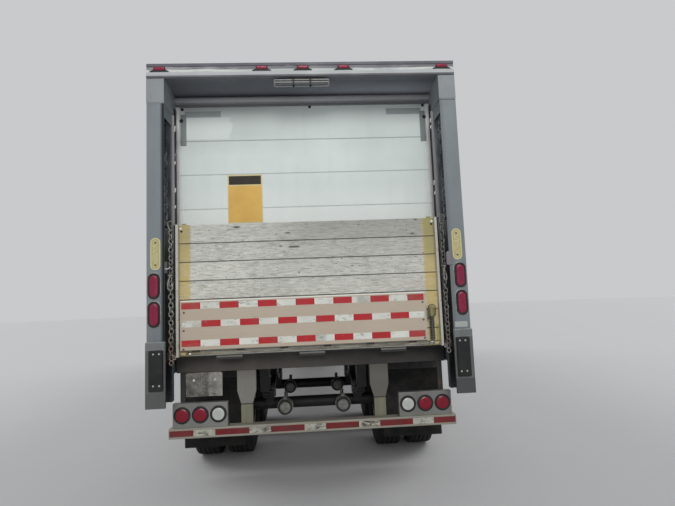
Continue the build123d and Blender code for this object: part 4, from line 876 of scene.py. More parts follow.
def light_studio():
    """One soft sun from behind and one from each front corner, by heading, height, power and spread."""
    for name, heading, height, power, spread in (
            ("rear_light", 1, 25, 1.26, 22),
            ("left_light", -122, 36, 1.15, 36),
            ("right_light", 122, 36, 1.15, 36)):
        lamp = bpy.data.lights.new(name, "SUN")
        lamp.angle = math.radians(spread)
        lamp.energy = power
        lamp.color = (1.0, 0.985, 0.965)
        heading, height = math.radians(heading), math.radians(height)
        flat = math.cos(height)
        away = Vector((math.sin(heading) * flat, -math.cos(heading) * flat, math.sin(height)))
        show(name, lamp).matrix_world = Matrix.Translation(away * 20) @ facing(away)
    bpy.context.scene.view_settings.view_transform = "Standard"


def lay_floor():
    """Pale studio floor."""
    bm = bmesh.new()
    bmesh.ops.create_circle(bm, cap_ends=True, segments=96, radius=90.0)
    mesh = bpy.data.meshes.new("studio_floor")
    bm.to_mesh(mesh)
    bm.free()
    mesh.materials.append(FINISHES["studio_floor"].material)
    ground = show("studio_floor", mesh)


rivet = make_rivet()
stand_camera()
light_sky()
light_studio()
lay_floor()


# Body
def side_walls():
    """Wall panels between rounded rails, with sheet laps, rivets and rail bolts at the usual spacings."""
    dress("white_panel", "side_wall_left", "side_wall_right", "front_wall", "front_corners")
    dress("floor_wood", "floor_deck")
    dress("chassis_black", "crossmembers")
    dress("roof_sheet", "roof_panel")
    rounded("bare_aluminium", 0.006, "top_rails")
    rounded("bare_aluminium", 0.004, "front_top_rail")
    rounded("bare_aluminium", 0.0015, "bottom_rails", "front_bottom_rail")
    (_, wall_x), (start, end), (_, top) = box("side_wall_right")
    rail_x = box("bottom_rails")[0][1]
    row = WALL_SHEET / 3
    laps = []
    wall = []
    for number in range(int((end - start) / row) + 1):
        y = start + 0.03 + number * row
        rows = (y,)
        if number and number % 3 == 0:
            rows = (y - 0.012, y + 0.022)
            laps.append(((wall_x - 0.001, wall_x + 0.0012), (y - 0.027, y + 0.005), (1.365, top - 0.002)))
        wall += [(wall_x, spot, z) for spot in rows for z in WALL_RIVET_Z]
    blocks("wall_sheet_laps", "white_panel", *laps, mirrored=True)
    rail = [(rail_x, start + 0.05 + n * RAIL_RIVET_PITCH, z) for n in range(155) for z in (1.353, 3.59)]
    pairs = [start + 0.1525 + n * CROSSMEMBER_PITCH + d for n in range(38) for d in (-0.02, 0.02)]
    bolts = [(rail_x, y, z) for y in pairs for z in (1.16, 1.2)]
    for name, shape, places, finish in (
            ("wall_rivets_", rivet, wall, "white_panel"), ("rail_rivets_", rivet, rail, "bare_aluminium"),
            ("rail_bolts_", make_button(0.009, 0.006), bolts, "dull_steel")):
        for side, hand in HANDS.items():
            spots = [(side * x, y, z) for x, y, z in places]
            fasteners(name + hand, shape, spots, (side, 0, 0), finish)


def side_tape():
    """Red and white tape in short runs along the bottom rails."""
    (_, x), (rear, _), _ = box("bottom_rails")
    for colour, (start, long) in TAPE_RUN.items():
        ends = [rear + 0.12 + number * SIDE_TAPE_PITCH + start for number in range(13)]
        strips = [((x - 0.0005, x + 0.0006), (y, y + long), (1.268, 1.3188)) for y in ends]
        blocks("side_tape_" + colour, "tape_" + colour, *strips, mirrored=True)


def front_end():
    """Rivets round the front wall, and the couplings for air and light."""
    (left, right), (_, front), _ = box("front_wall")
    columns = [left + 0.02 + number * (right - left - 0.04) / 6 for number in range(7)]
    places = [(x, front, z) for x in columns for z in WALL_RIVET_Z]
    fasteners("front_rivets", rivet, places, AHEAD, "white_panel")
    across, (near, _), (low, high) = box("front_connectors")
    middle = (low + high) / 2
    blocks("connector_panel", "dull_steel", (across, (near, near + 0.012), (low, high), 0.002),
           stands_for=("front_connectors",))
    for name, x, finish in (
            ("service_coupling", -0.44, "coupling_blue"), ("supply_coupling", -0.06, "coupling_red")):
        bm = bmesh.new()
        rod(bm, (x, near + 0.01, middle), (x, near + 0.03, middle), 0.014)
        rod(bm, (x, near + 0.03, middle), (x, near + 0.05, middle), 0.033, 28, 0.028)
        slab(bm, about(x, 0.036), (near + 0.034, near + 0.044), about(middle, 0.012), 0.003)
        piece(name, bm, finish)
        bm = bmesh.new()
        rod(bm, (x, near + 0.049, middle), (x, near + 0.054, middle), 0.019, 28)
        piece(name + "_seal", bm, "grommet_rubber")
    bm = bmesh.new()
    left, right = -0.285, -0.215
    x = (left + right) / 2
    rod(bm, (x, near + 0.01, middle), (x, near + 0.044, middle), 0.031, 32)
    slab(bm, (left, right), (near + 0.044, near + 0.056), (middle - 0.034, middle + 0.036), 0.004)
    rod(bm, (left, near + 0.046, middle + 0.034), (right, near + 0.046, middle + 0.034), 0.006, 12)
    piece("light_socket", bm, "dull_steel")


def side_lamps():
    """Amber marker lamps on rubber bases, along the rails and across the front."""
    places = []
    for side in SIDES:
        for y in (6.391, 12.222):
            turn = Matrix.Rotation(side * math.pi / 2, 4, "Z")
            places.append(Matrix.Translation((side * 1.2955, y, 1.305)) @ turn)
        for x in (1.0855, 0.345):
            places.append(Matrix.Translation((side * x, 12.482, 3.6175)) @ HALF_TURN)
    lens_shape = bmesh.new()
    oval(lens_shape, 0, -0.003, 0, 0.084, 0.0296, 0.004, (0.003, 0.004), (0.005, 0.002), sides=28)
    base_shape = bmesh.new()
    slab(base_shape, (-0.05, 0.05), (-0.0045, 0.001), (-0.02, 0.02), 0.0018)
    lenses = bmesh.new()
    bases = bmesh.new()
    for bm, shape in ((lenses, template(lens_shape)), (bases, template(base_shape))):
        for place in places:
            stamp(bm, shape, place)
    piece("amber_markers", lenses, "amber_lens", stands_for=("amber_lenses",))
    piece("amber_marker_bases", bases, "grommet_rubber")


side_walls()
side_tape()
front_end()
side_lamps()


# Rear frame, door and hood
def roll_door():
    """Panels with taped corners, bumpers, a blank yellow notice and a lock, between tracks and side seals."""
    dress("door_white", "roll_door")
    rounded("track_white", 0.003, "door_tracks")
    face = box("roll_door")[1][0]
    for name, finish, x, near, far, z, edge in (
            ("door_edge_seals", "track_white", (1.1105, 1.1165), -0.0025, 0.004, (1.297, 3.452), 0.001),
            ("door_corner_tape", "tape_silver", (0.763, 1.088), -0.0008, 0.001, (3.361, 3.418), 0.0),
            ("door_corner_tape_down", "tape_grey", (1.076, 1.129), -0.0032, 0.001, (3.096, 3.39), 0.0),
            ("caution_panel_edge", "sign_cream", (-0.714, -0.402), -0.002, 0.001, (2.373, 2.817), 0.0008),
            ("caution_panel_band", "sign_black", (-0.7025, -0.4135), -0.003, 0.0, (2.725, 2.805), 0.0003),
            ("caution_panel", "sign_yellow", (-0.706, -0.41), -0.0026, 0.0, (2.382, 2.714), 0.0003)):
        blocks(name, finish, (x, (face + near, face + far), z, edge), mirrored=x[0] > 0)
    blocks("jamb_strips", "jamb_grey", ((1.135, 1.156), (0.222, 0.232), (2.34, 3.31), 0.002), mirrored=True)
    seal = ((1.1612, 1.1655), (0.32, 0.394), (1.3, 3.42), 0.0015)
    blocks("door_side_seals", "seal_rubber", seal, mirrored=True)
    blocks("door_lock", "dull_steel", ((-0.11, 0.11), (face - 0.006, face + 0.001), (1.36, 1.5), 0.002),
           ((-0.02, 0.02), (face - 0.03, face - 0.004), (1.39, 1.47), 0.006))
    for size, spots in ((0.0135, [(-1.112, 3.438), (1.112, 3.443), (0.051, 3.444)]),
                        (0.019, [(-1.12, 3.331), (1.12, 3.331)])):
        places = [(x, face, z) for x, z in spots]
        fasteners(f"door_bumpers_{len(spots)}", make_button(size, 0.012), places, BACK, "grommet_rubber")


def torn_seal():
    """Pale bits along the edges of the door where its side seal is torn."""
    bm = bmesh.new()
    for x, z, tall in (
            (-1.1285, 3.19, 0.05), (-1.129, 2.885, 0.026), (-1.1285, 2.645, 0.034), (-1.13, 2.5, 0.022),
            (1.1285, 3.225, 0.036), (1.129, 3.165, 0.028), (1.1285, 2.655, 0.04), (1.13, 2.56, 0.024)):
        bent_bar(bm, [(x - 0.004, 0.229, z - tall / 2), (x + 0.001, 0.225, z - tall / 5),
                      (x - 0.002, 0.226, z + tall / 4), (x + 0.004, 0.229, z + tall / 2)], 0.0045)
    piece("seal_tears", bm, "track_white")


def rear_frame():
    rounded("column_paint", 0.003, "rear_posts")
    rounded("header_paint", 0.003, "rear_header")
    rounded("hood_paint", 0.004, "rear_hood")
    rounded("sill_dark", 0.005, "rear_sill")
    rounded("column_paint", 0.0025, "lift_columns")
    rounded("boot_paint", 0.004, "column_boots")
    rounded("pad_rubber", 0.007, "dock_pads", segments=3)
    spots = [(side * x, -0.045, z) for side in SIDES for x in (1.185, 1.23) for z in (1.047, 1.289)]
    fasteners("pad_bolts", make_button(0.009, 0.006), spots, BACK, "bright_steel")
    cap = (3.332, 3.5395)
    blocks("column_caps", "column_paint", ((1.153, 1.2965), (-0.0025, 0.004), cap, 0.001),
           ((1.153, 1.1565), (-0.002, 0.2), cap, 0.001), ((1.2945, 1.2975), (-0.002, 0.288), cap, 0.001),
           mirrored=True)
    blocks("column_label", "label_white", ((1.168, 1.271), (-0.0012, 0.0005), (1.394, 1.439), 0.0003))


def latches():
    """Platform latches: a body on each side, a worn plate on the right and a loose clip on the left."""
    (_, reach), (near, far), (low, high) = box("platform_latches")
    body = ((1.129, 1.158), (near + 0.002, far), (low + 0.012, high - 0.006), 0.008, 3)
    blocks("latch_bodies", "latch_paint", body, stands_for=("platform_latches",), mirrored=True)
    blocks("latch_plate", "latch_paint", ((1.136, reach), (near, near + 0.009), (low, high), 0.004),
           ((1.129, 1.139), (near, 0.02), (low + 0.004, high - 0.02), 0.004))
    bm = bmesh.new()
    bent_bar(bm, [(-1.146, near - 0.002, 1.953), (-1.13, near - 0.004, 1.947), (-1.116, near + 0.002, 1.956),
                  (-1.108, near + 0.006, 1.966)], 0.0042)
    piece("latch_clip", bm, "bright_steel")


def boot_lids():
    """Lid on each boot, narrower at its top and leaning forward, over a flat front panel."""
    bm = bmesh.new()
    lid = bmesh.ops.create_cube(bm, size=1.0)["verts"]
    bmesh.ops.scale(bm, vec=(0.15, 0.012, 0.06), verts=lid)
    for vert in lid:
        if vert.co.z > 0:
            vert.co.x += -0.008 if vert.co.x > 0 else 0.003
            vert.co.y += 0.003 if vert.co.y < 0 else 0.0
    bmesh.ops.translate(bm, vec=(1.2235, -0.0235, 1.349), verts=lid)
    soften(bm, bm.edges, 0.002)
    slab(bm, (1.1545, 1.2735), (-0.0235, -0.0195), (0.997, 1.3225), 0.001)
    both_sides(bm)
    piece("boot_lids", bm, "boot_paint")


def oval_plates():
    x, z = OVAL
    bm = bmesh.new()
    oval(bm, x, 0.0005, z, 0.08, 0.26, 0.002, (0.0015, 0.0015), (0.008, 0.0), (0.0015, -0.001))
    both_sides(bm)
    piece("yellow_ovals", bm, "plate_yellow", stands_for=("oval_plates",))
    spots = twins(x, -0.003, z - 0.09) + twins(x, -0.003, z + 0.09)
    fasteners("oval_screws", make_button(0.0075, 0.003), spots, BACK, "dark_steel")


def tail_lamps():
    """Oval lamps with a thin bright ring on the columns, round ones in the pods, all in rubber grommets."""
    lenses, grommets, rings, stops, reversing = (bmesh.new() for _ in range(5))
    x = 1.237
    for z in (1.818, 1.594):
        oval(rings, x, 0.0005, z, 0.109, 0.219, 0.0025, (0.002, 0.0015), (0.003, 0.0))
        oval(grommets, x, 0.0, z, 0.097, 0.207, 0.006, (0.003, 0.004), (0.006, 0.001), (0.006, -0.002),
             (0.002, -0.006))
        oval(lenses, x, -0.002, z, 0.064, 0.17, 0.008, (0.003, 0.0035), (0.006, 0.0015), (0.012, 0.0005))
    y = box("white_lenses")[1][1]
    z = 0.752
    for x, bm, wide in ((0.7945, reversing, 0.104), (0.943, stops, 0.108), (1.0915, stops, 0.108)):
        oval(bm, x, y + 0.002, z, wide, wide, 0.006, (0.004, 0.0035), (0.012, 0.002), (0.02, 0.001))
        oval(grommets, x, y + 0.001, z, 0.138, 0.138, 0.004, (0.004, 0.004), (0.005, 0.001), (0.006, -0.002),
             sides=48)
    for name, bm, finish, stands_for in (
            ("stop_lenses", stops, "round_red", ("red_lenses",)), ("lamp_rings", rings, "dull_steel", ()),
            ("lamp_grommets", grommets, "grommet_rubber", ("lamp_bezels",)),
            ("tail_lenses", lenses, "red_lens", ("red_lenses",)),
            ("reversing_lenses", reversing, "white_lens", ("white_lenses",))):
        both_sides(bm)
        piece(name, bm, finish, stands_for=stands_for)


def hood_lamps():
    """Clearance lamps along the hood, on feet that narrow upwards."""
    lenses = bmesh.new()
    bases = bmesh.new()
    z = 3.6215
    for x in (-1.19, -0.345, 0.0, 0.345, 1.19):
        oval(lenses, x, -0.003, z, 0.092, 0.029, 0.004, (0.0015, 0.003), (0.003, 0.003), (0.004, 0.002),
             (0.004, 0.0006), sides=36)
        foot = bmesh.ops.create_cube(bases, size=1.0)["verts"]
        bmesh.ops.scale(bases, vec=(0.158, 0.0085, 0.014), verts=foot)
        for vert in foot:
            vert.co.x *= 0.66 if vert.co.z > 0 else 1.0
        bmesh.ops.translate(bases, vec=(x, -0.0035, z - 0.018), verts=foot)
        oval(bases, x, 0.001, z, 0.1, 0.034, 0.006, (0.002, 0.0), sides=36)
    piece("clearance_lenses", lenses, "marker_red", stands_for=("red_lenses",))
    piece("clearance_bases", bases, "grommet_rubber")


def loading_lamp():
    """Oval lamp that points down from the hood, inside its guard of two wire loops."""
    (a, b), (near, far), (low, high) = box("flood_lamp")
    wide, deep = b - a, far - near
    down = Matrix.Rotation(math.pi / 2, 4, "X")
    for name, finish, stands_for, top, wide_in, deep_in, steps in (
            ("loading_lamp_tray", "dark_steel", ("flood_lamp",), high - 0.0005, 0.05, 0.034,
             (0.018, (0.003, 0.008), (0.006, 0.003))),
            ("loading_lamp_glass", "lamp_glass", (), high - 0.028, 0.08, 0.05,
             (0.006, (0.004, 0.004), (0.006, 0.001)))):
        shape = bmesh.new()
        oval(shape, 0, 0, 0, wide - wide_in, deep - deep_in, *steps)
        bm = bmesh.new()
        stamp(bm, template(shape), Matrix.Translation(((a + b) / 2, (near + far) / 2, top)) @ down)
        piece(name, bm, finish, stands_for=stands_for)
    wire = 0.0055
    path = []
    loop = [(a, near), (b, near), (b, far), (a, far)]
    for number, corner in enumerate(loop):
        here = Vector(corner)
        for other in (loop[number - 1], loop[(number + 1) % 4]):
            path.append(here + (Vector(other) - here).normalized() * 0.024)
        path.insert(-1, here)
    bars = bmesh.new()
    clips = bmesh.new()
    posts = [(a + wide * share, y) for share in (0.35, 0.66) for y in (near, far)]
    for z in (low + wire, low + 0.026):
        bent_bar(bars, [(p.x, p.y, z) for p in path], wire, closed=True)
        for x, y in posts:
            slab(clips, about(x, 0.008), about(y, 0.0075), about(z, 0.007), 0.002)
    for x, y in posts:
        rod(clips, (x, y, low + wire), (x, y, high), 0.0035, 10)
    piece("loading_lamp_guard", bars, "wire_grey")
    piece("loading_lamp_clips", clips, "dark_steel")


roll_door()
torn_seal()
rear_frame()
latches()
boot_lids()
oval_plates()
tail_lamps()
hood_lamps()
loading_lamp()


# Rear guard
def tape_strips(starts, long, ends, face, z):
    """Blocks for strips of tape, cut off at the ends of what they are on."""
    cut = [(max(x, ends[0]), min(x + long, ends[1])) for x in starts]
    return [((low, high), (face - 0.0007, face + 0.001), z) for low, high in cut if high - low > 0.01]


def rear_guard():
    """Taped bar on two sleeved uprights, with the lamp pods and their stays."""
    rounded("guard_paint", 0.008, "guard_bar", segments=3)
    rounded("upright_paint", 0.004, "guard_uprights")
    rounded("pod_metal", 0.004, "lamp_pods")
    face = box("guard_bar")[1][0]
    for colour, (start, long) in TAPE_RUN.items():
        starts = [-0.822 + number * GUARD_TAPE_PITCH + start for number in range(-1, 5)]
        strips = tape_strips(starts, long, (-1.194, 1.194), face, (0.584, 0.632))
        blocks("guard_tape_" + colour, "guard_" + colour, *strips)
    sleeve = ((0.5155, 0.6145), (0.2985, 0.3465), (0.652, 0.806), 0.003)
    blocks("upright_sleeves", "sleeve_metal", sleeve, mirrored=True)
    blocks("pod_stays", "chassis_black", ((1.078, 1.12), (0.309, 0.316), (0.83, 1.092), 0.002), mirrored=True)


def licence_plate():
    """Bent blank plate with its upper corners cut, on a bracket, with two screws and two slots."""
    (a, b), (near, _), (low, high) = box("licence_plate")
    middle = (a + b) / 2
    wide = b - a
    top = (high - low) / 2
    bm = bmesh.new()
    made = bmesh.ops.create_grid(bm, x_segments=28, y_segments=14, size=0.5)["verts"]
    bmesh.ops.scale(bm, vec=(wide, high - low - 0.002, 1), verts=made)
    bmesh.ops.rotate(bm, cent=(0, 0, 0), matrix=Matrix.Rotation(math.pi / 2, 3, "X"), verts=made)
    for side in SIDES:
        cut = bm.verts[:] + bm.edges[:] + bm.faces[:]
        corner = (side * (wide / 2 - 0.016), 0, top)
        bmesh.ops.bisect_plane(bm, geom=cut, plane_co=corner, plane_no=(side, 0, 1.3), clear_outer=True)
    for vert in bm.verts:
        x, z = vert.co.x / wide, vert.co.z / (2 * top)
        vert.co.y = 0.0045 * math.sin(9 * x + 0.6) * (0.6 - z) + 0.003 * x * z - 0.004 * max(0.0, z - 0.3)
    bmesh.ops.translate(bm, vec=(middle, near - 0.006, (low + high) / 2), verts=bm.verts)
    bmesh.ops.solidify(bm, geom=bm.faces[:], thickness=0.0012)
    piece("blank_plate", bm, "licence_metal", stands_for=("licence_plate",))
    blocks("plate_bracket", "chassis_black",
           (about(middle, 0.05), (near + 0.001, near + 0.008), (0.89, 1.09), 0.001),
           ((a + 0.03, b - 0.03), (near - 0.001, near + 0.004), (1.0, 1.05), 0.001))
    spots = [(x, near - 0.008, 1.026) for x in (-1.003, -0.826)]
    fasteners("plate_screws", make_bolt(0.0075, 0.006, 0.002), spots, BACK, "bright_steel")
    slots = [(about(x, 0.009), (near - 0.0115, near - 0.006), (0.907, 0.913), 0.0015)
             for x in (-1.014, -0.836)]
    blocks("plate_slots", "sign_black", *slots)


rear_guard()
licence_plate()


# Lift carriage
# For each chain: how far out it hangs, the height of its lowest link, and its pitch
CHAIN_X, CHAIN_FOOT, CHAIN_PITCH = 1.12, 1.246, 0.0346
SLOT_X, SLOT_FOOT, SLOT_PITCH = 1.181, 2.42, 0.031


def chain_link(turn):
    """One link: a round bar bent into a long ring, its length along Z."""
    bm = ring(0.0172, 0.0047, 8, 12)
    for vert in bm.verts:
        if abs(vert.co.z) > 0.0048:
            vert.co.z += math.copysign(0.0052, vert.co.z)
    mesh = template(bm)
    mesh.transform(Matrix.Rotation(turn, 4, "Z"))
    return mesh


def lift_chains():
    """Platform chains, and the lifting chains that hang in the column slots."""
    bm = bmesh.new()
    slot = bmesh.new()
    links = (chain_link(0), chain_link(math.pi / 2))
    for side in SIDES:
        for number in range(31):
            z = CHAIN_FOOT + number * CHAIN_PITCH
            twist = side * (0.05 if side < 0 and z < 1.79 else 0.7) + dice.uniform(-0.2, 0.2)
            lean = Matrix.Rotation(twist, 4, "Z") @ Matrix.Rotation(dice.uniform(-0.1, 0.1), 4, "Y")
            spot = (side * CHAIN_X + dice.uniform(-0.002, 0.002), 0.055, z)
            stamp(bm, links[number % 2], Matrix.Translation(spot) @ lean)
        x = side * SLOT_X
        for number in range(26):
            lean = Matrix.Rotation(dice.uniform(-0.9, 0.9), 4, "Z")
            lean = lean @ Matrix.Rotation(dice.uniform(-0.15, 0.15), 4, "Y")
            spot = (x, 0.115, SLOT_FOOT + number * SLOT_PITCH)
            stamp(slot, links[number % 2], Matrix.Translation(spot) @ lean)
        rod(slot, (x, 0.115, 3.21), (x, 0.115, 3.5), 0.011, 12)
        slab(slot, about(x, 0.016), (0.1, 0.13), (2.366, 2.402), 0.004)
    piece("lift_chain_links", bm, "chain_steel", CARRIAGE, ("lift_chains",))
    piece("slot_chains", slot, "slot_steel")


def chain_hooks():
    """Hooks half way up the platform chains, end rings below, and a shackle with rings at the left latch."""
    bm = bmesh.new()
    end_ring = template(ring(0.0145, 0.0042, 10, 20))
    for side in SIDES:
        x = side * CHAIN_X
        turned_by = 1.0 if side < 0 else 0.55
        hook = [(0.0, 0.036, 1.9), (-0.012, 0.034, 1.865), (-0.02, 0.032, 1.83), (-0.016, 0.03, 1.79),
                (0.004, 0.03, 1.778), (0.02, 0.03, 1.792), (0.02, 0.03, 1.822), (0.012, 0.031, 1.834)]
        bent_bar(bm, [(x + turned_by * out, y, z) for out, y, z in hook], 0.0065)
        rod(bm, (x - 0.016, 0.036, 1.902), (x + 0.016, 0.036, 1.902), 0.007, 12)
        turn = Matrix.Rotation(side * -0.15, 4, "Y") @ Matrix.Scale(1.25, 4, (0, 0, 1))
        stamp(bm, end_ring, Matrix.Translation((side * 1.117, 0.043, 1.207)) @ turn)
        rod(bm, (side * 1.083, 0.052, 1.237), (side * 1.104, 0.047, 1.232), 0.006, 12)
    shackle = [(-1.146, 0.04, 2.328), (-1.118, 0.038, 2.348), (-1.094, 0.04, 2.334), (-1.108, 0.042, 2.27),
               (-1.122, 0.042, 2.266)]
    bent_bar(bm, shackle, 0.0042, closed=True)
    latch_ring = template(ring(0.0185, 0.004, 10, 20))
    for turn, x, z in ((0.75, 1.113, 2.322), (-0.7, 1.127, 2.306), (0.35, 1.119, 2.28)):
        lean = Matrix.Rotation(turn, 4, "Z") @ Matrix.Scale(1.4, 4, (0, 0, 1))
        stamp(bm, latch_ring, Matrix.Translation((x, 0.04, z)) @ lean)
    piece("chain_hooks", bm, "chain_steel", CARRIAGE)


def lift_carriage():
    rounded("lift_dark", 0.003, "carriage_beam", body=CARRIAGE)
    rounded("runner_dark", 0.003, "lift_runners", body=CARRIAGE)
    tab_faces = [(about(x, 0.106), (0.167, 0.171), (1.2035, 1.235), 0.001)
                 for x in (-0.682, 0.0, 0.682)]
    blocks("beam_tab_faces", "tab_steel", *tab_faces, body=CARRIAGE)
    spots = twins(1.107, 0.076, 1.246)
    fasteners("arm_bolts", make_bolt(0.012, 0.009, 0.002), spots, BACK, "dull_steel", CARRIAGE)


lift_chains()
chain_hooks()
lift_carriage()


# Folding platform and ramp
def platform():
    rounded("deck_plank", 0.001, "inner_deck", body=INNER)
    rounded("deck_plank", 0.001, "outer_deck", body=OUTER)
    rounded("bar_white", 0.003, "deck_side_bars", body=OUTER)
    bolt = make_bolt(0.0075, 0.007, 0.002)
    fasteners("deck_corner_bolts", bolt, twins(1.041, 0.058, 2.281), BACK, "bright_steel", OUTER)
    plug = make_button(0.01, 0.004)
    fasteners("deck_corner_plugs", plug, twins(1.035, 0.058, 2.258), BACK, "grommet_rubber", OUTER)


def ramp():
    """Ramp leaf with round upper corners, three rows of tape, rivets at its edges and collars on its rod."""
    bm = merged("ramp_plate")
    top = max(vert.co.z for vert in bm.verts) - 1e-4
    corners = [e for e in bm.edges
               if all(v.co.z > top for v in e.verts) and abs((e.verts[0].co - e.verts[1].co).y) > 0.01]
    soften(bm, corners, 0.018, 5)
    soften(bm, [e for e in hard_edges(bm, 50) if all(v.co.z > 1.29 for v in e.verts)], 0.0025)
    piece("ramp_leaf", bm, "ramp_metal", RAMP, ("ramp_plate",), moved=False)
    face = 0.03
    for colour, shift in (("red", 0.0), ("white", RAMP_TAPE)):
        strips = []
        for z, start in ((1.650, -0.731), (1.507, -0.571), (1.354, -0.731)):
            starts = [start + shift + number * 2 * RAMP_TAPE for number in range(-2, 7)]
            strips += tape_strips(starts, RAMP_TAPE, (-1.033, 0.928), face, about(z, INCH))
        blocks("ramp_tape_" + colour, "tape_" + colour, *strips, body=RAMP)
    spots = [(x, face, z) for x, z in ((-1.013, 1.599), (-1.016, 1.455), (-1.018, 1.309),
                                       (0.917, 1.608), (0.918, 1.465), (0.922, 1.317))]
    fasteners("ramp_rivets", make_button(0.009, 0.004), spots, BACK, "spring_steel", RAMP)
    bm = bmesh.new()
    for start, end in ((-0.962, -0.979), (0.964, 0.979)):
        rod(bm, (start, 0.055, 1.27), (end, 0.055, 1.27), 0.0125)
    piece("ramp_rod_collars", bm, "bright_steel", RAMP)


def ramp_spring():
    """Lift-assist spring beside the ramp: coil, cap in its bracket, and an eye at its foot."""
    x, y, low, high = 0.989, 0.035, 1.312, 1.49
    coils, points = 11, 8
    steps = coils * points
    path = []
    for step in range(steps + 1):
        angle = step * math.tau / points
        z = low + (high - low) * step / steps
        path.append((x + 0.0178 * math.cos(angle), y + 0.0165 * math.sin(angle), z))
    bm = bmesh.new()
    bent_bar(bm, path, 0.0046, order=4, sides=1)
    rod(bm, (x, y, low - 0.012), (x, y, high + 0.01), 0.0095, 16)
    for z in (low - 0.004, high - 0.002):
        rod(bm, (x, y, z - 0.004), (x, y, z + 0.004), 0.0205, 24)
        slab(bm, about(x, 0.012), (y, 0.0585), about(z, 0.004), 0.001)
    bracket = [(-0.029, 0.02, 1.47), (-0.029, 0.02, 1.55), (-0.026, 0.02, 1.575), (-0.006, 0.02, 1.584),
               (0.014, 0.02, 1.582), (0.029, 0.02, 1.572), (0.03, 0.02, 1.54), (0.03, 0.03, 1.5)]
    bracket = [(x + out, back, z) for out, back, z in bracket]
    bent_bar(bm, bracket, 0.0042)
    for spot in (bracket[0], bracket[-1]):
        rod(bm, spot, (spot[0], 0.0585, spot[2]), 0.0042, 10)
    piece("ramp_coil", bm, "spring_steel", OUTER, ("ramp_spring",))
    bm = bmesh.new()
    rod(bm, (x, y, high + 0.004), (x, y, high + 0.07), 0.0225, 28, 0.022)
    rod(bm, (x, y, high + 0.07), (x, y, high + 0.076), 0.022, 28, 0.016)
    piece("ramp_coil_cap", bm, "cap_green", OUTER)
    bm = bmesh.new()
    lean = Matrix.Rotation(math.radians(62), 4, "X")
    stamp(bm, template(ring(0.0165, 0.0052, 10, 24)), Matrix.Translation((x - 0.012, 0.031, 1.2775)) @ lean)
    piece("ramp_coil_eye", bm, "bright_steel", OUTER)


platform()
ramp()
ramp_spring()


# Running gear
WHEEL_NUTS = 10
NUT_RADIUS = 0.143


def round_axle(count):
    """Turns that space copies evenly round the axle."""
    return [Matrix.Rotation(number * math.tau / count, 4, "X") for number in range(count)]


def tyre_shape():
    """Tyre with a bulged side, a step above it and four grooves between its ribs."""
    half = [(0.0947, 0.2803), (0.0947, 0.3043), (0.101, 0.3135), (0.116, 0.323), (0.1285, 0.343),
            (0.136, 0.372), (0.1395, 0.402), (0.138, 0.43), (0.134, 0.452), (0.1355, 0.4535), (0.1345, 0.459),
            (0.1315, 0.4605), (0.124, 0.48), (0.1175, 0.4915), (0.1145, 0.4985), (0.109, 0.5015)]
    for groove in (0.071, 0.0235):
        half += [(groove + 0.0062, 0.5035), (groove + 0.0042, 0.4905), (groove - 0.0042, 0.4905),
                 (groove - 0.0062, 0.504)]
    return template(turned([(-x, radius) for x, radius in half] + half[::-1], 72))


def rim_shape():
    return template(turned([
        (0.0665, 0.264), (0.2765, 0.264), (0.2765, 0.3035), (0.2735, 0.3045), (0.2695, 0.302), (0.2665, 0.29),
        (0.2665, 0.2805), (0.235, 0.2795), (0.222, 0.272), (0.18, 0.2705), (0.12, 0.2785), (0.0765, 0.2805),
        (0.0765, 0.3025), (0.0705, 0.3045), (0.0665, 0.3025)], 64))


def disc_shape():
    """Dished wheel disc with ten hand holes, bolted face at X = 0 and dished towards +X."""
    bm = turned([(0.0055, 0.083), (0.0055, 0.168), (0.0075, 0.178), (0.018, 0.196), (0.052, 0.240),
                 (0.064, 0.256), (0.075, 0.266)], 40, closed=False)
    holes = []
    for face in bm.faces:
        middle = face.calc_center_median()
        sector = int(round(math.degrees(math.atan2(middle.y, middle.z)) / 9 + 0.5)) % 4
        if 0.2 < math.hypot(middle.y, middle.z) < 0.236 and sector in (0, 1):
            holes.append(face)
    bmesh.ops.delete(bm, geom=holes, context="FACES")
    holder = show("disc", template(bm))
    thick = holder.modifiers.new("thick", "SOLIDIFY")
    thick.thickness = 0.011
    thick.offset = 0.0
    smooth = holder.modifiers.new("smooth", "SUBSURF")
    smooth.levels = smooth.render_levels = 1
    bpy.context.view_layer.update()
    shaped = bpy.data.meshes.new_from_object(holder.evaluated_get(bpy.context.evaluated_depsgraph_get()))
    bpy.data.objects.remove(holder)
    return shaped


def hub_shape():
    """Hub, brake drum behind it and its back, with wheel nuts and six cap screws."""
    bm = bmesh.new()
    nut = make_bolt(0.0175, 0.022, 0.003)
    screw = make_bolt(0.006, 0.005)
    outwards = facing((1, 0, 0))
    for turn in round_axle(WHEEL_NUTS):
        stamp(bm, nut, turn @ Matrix.Translation((0.011, 0, NUT_RADIUS)) @ outwards)
    for turn in round_axle(6):
        stamp(bm, screw, turn @ Matrix.Translation((0.13, 0, 0.07)) @ outwards)
    hub = [(0.006, 0.0), (0.006, 0.081), (0.06, 0.079), (0.125, 0.074), (0.13, 0.0655), (0.178, 0.063),
           (0.185, 0.055), (0.185, 0.04), (0.181, 0.036), (0.181, 0.0)]
    drum = [(-0.285, 0.195), (-0.285, 0.213), (-0.27, 0.215), (-0.03, 0.215), (-0.012, 0.172),
            (-0.001, 0.172), (-0.001, 0.0405), (-0.04, 0.0405), (-0.04, 0.195)]
    back = [(-0.285, 0.0405), (-0.285, 0.064), (-0.05, 0.08), (-0.039, 0.0405)]
    for profile, steps in ((hub, 40), (drum, 48), (back, 32)):
        stamp(bm, template(turned(profile, steps)), STILL)
    return template(bm)


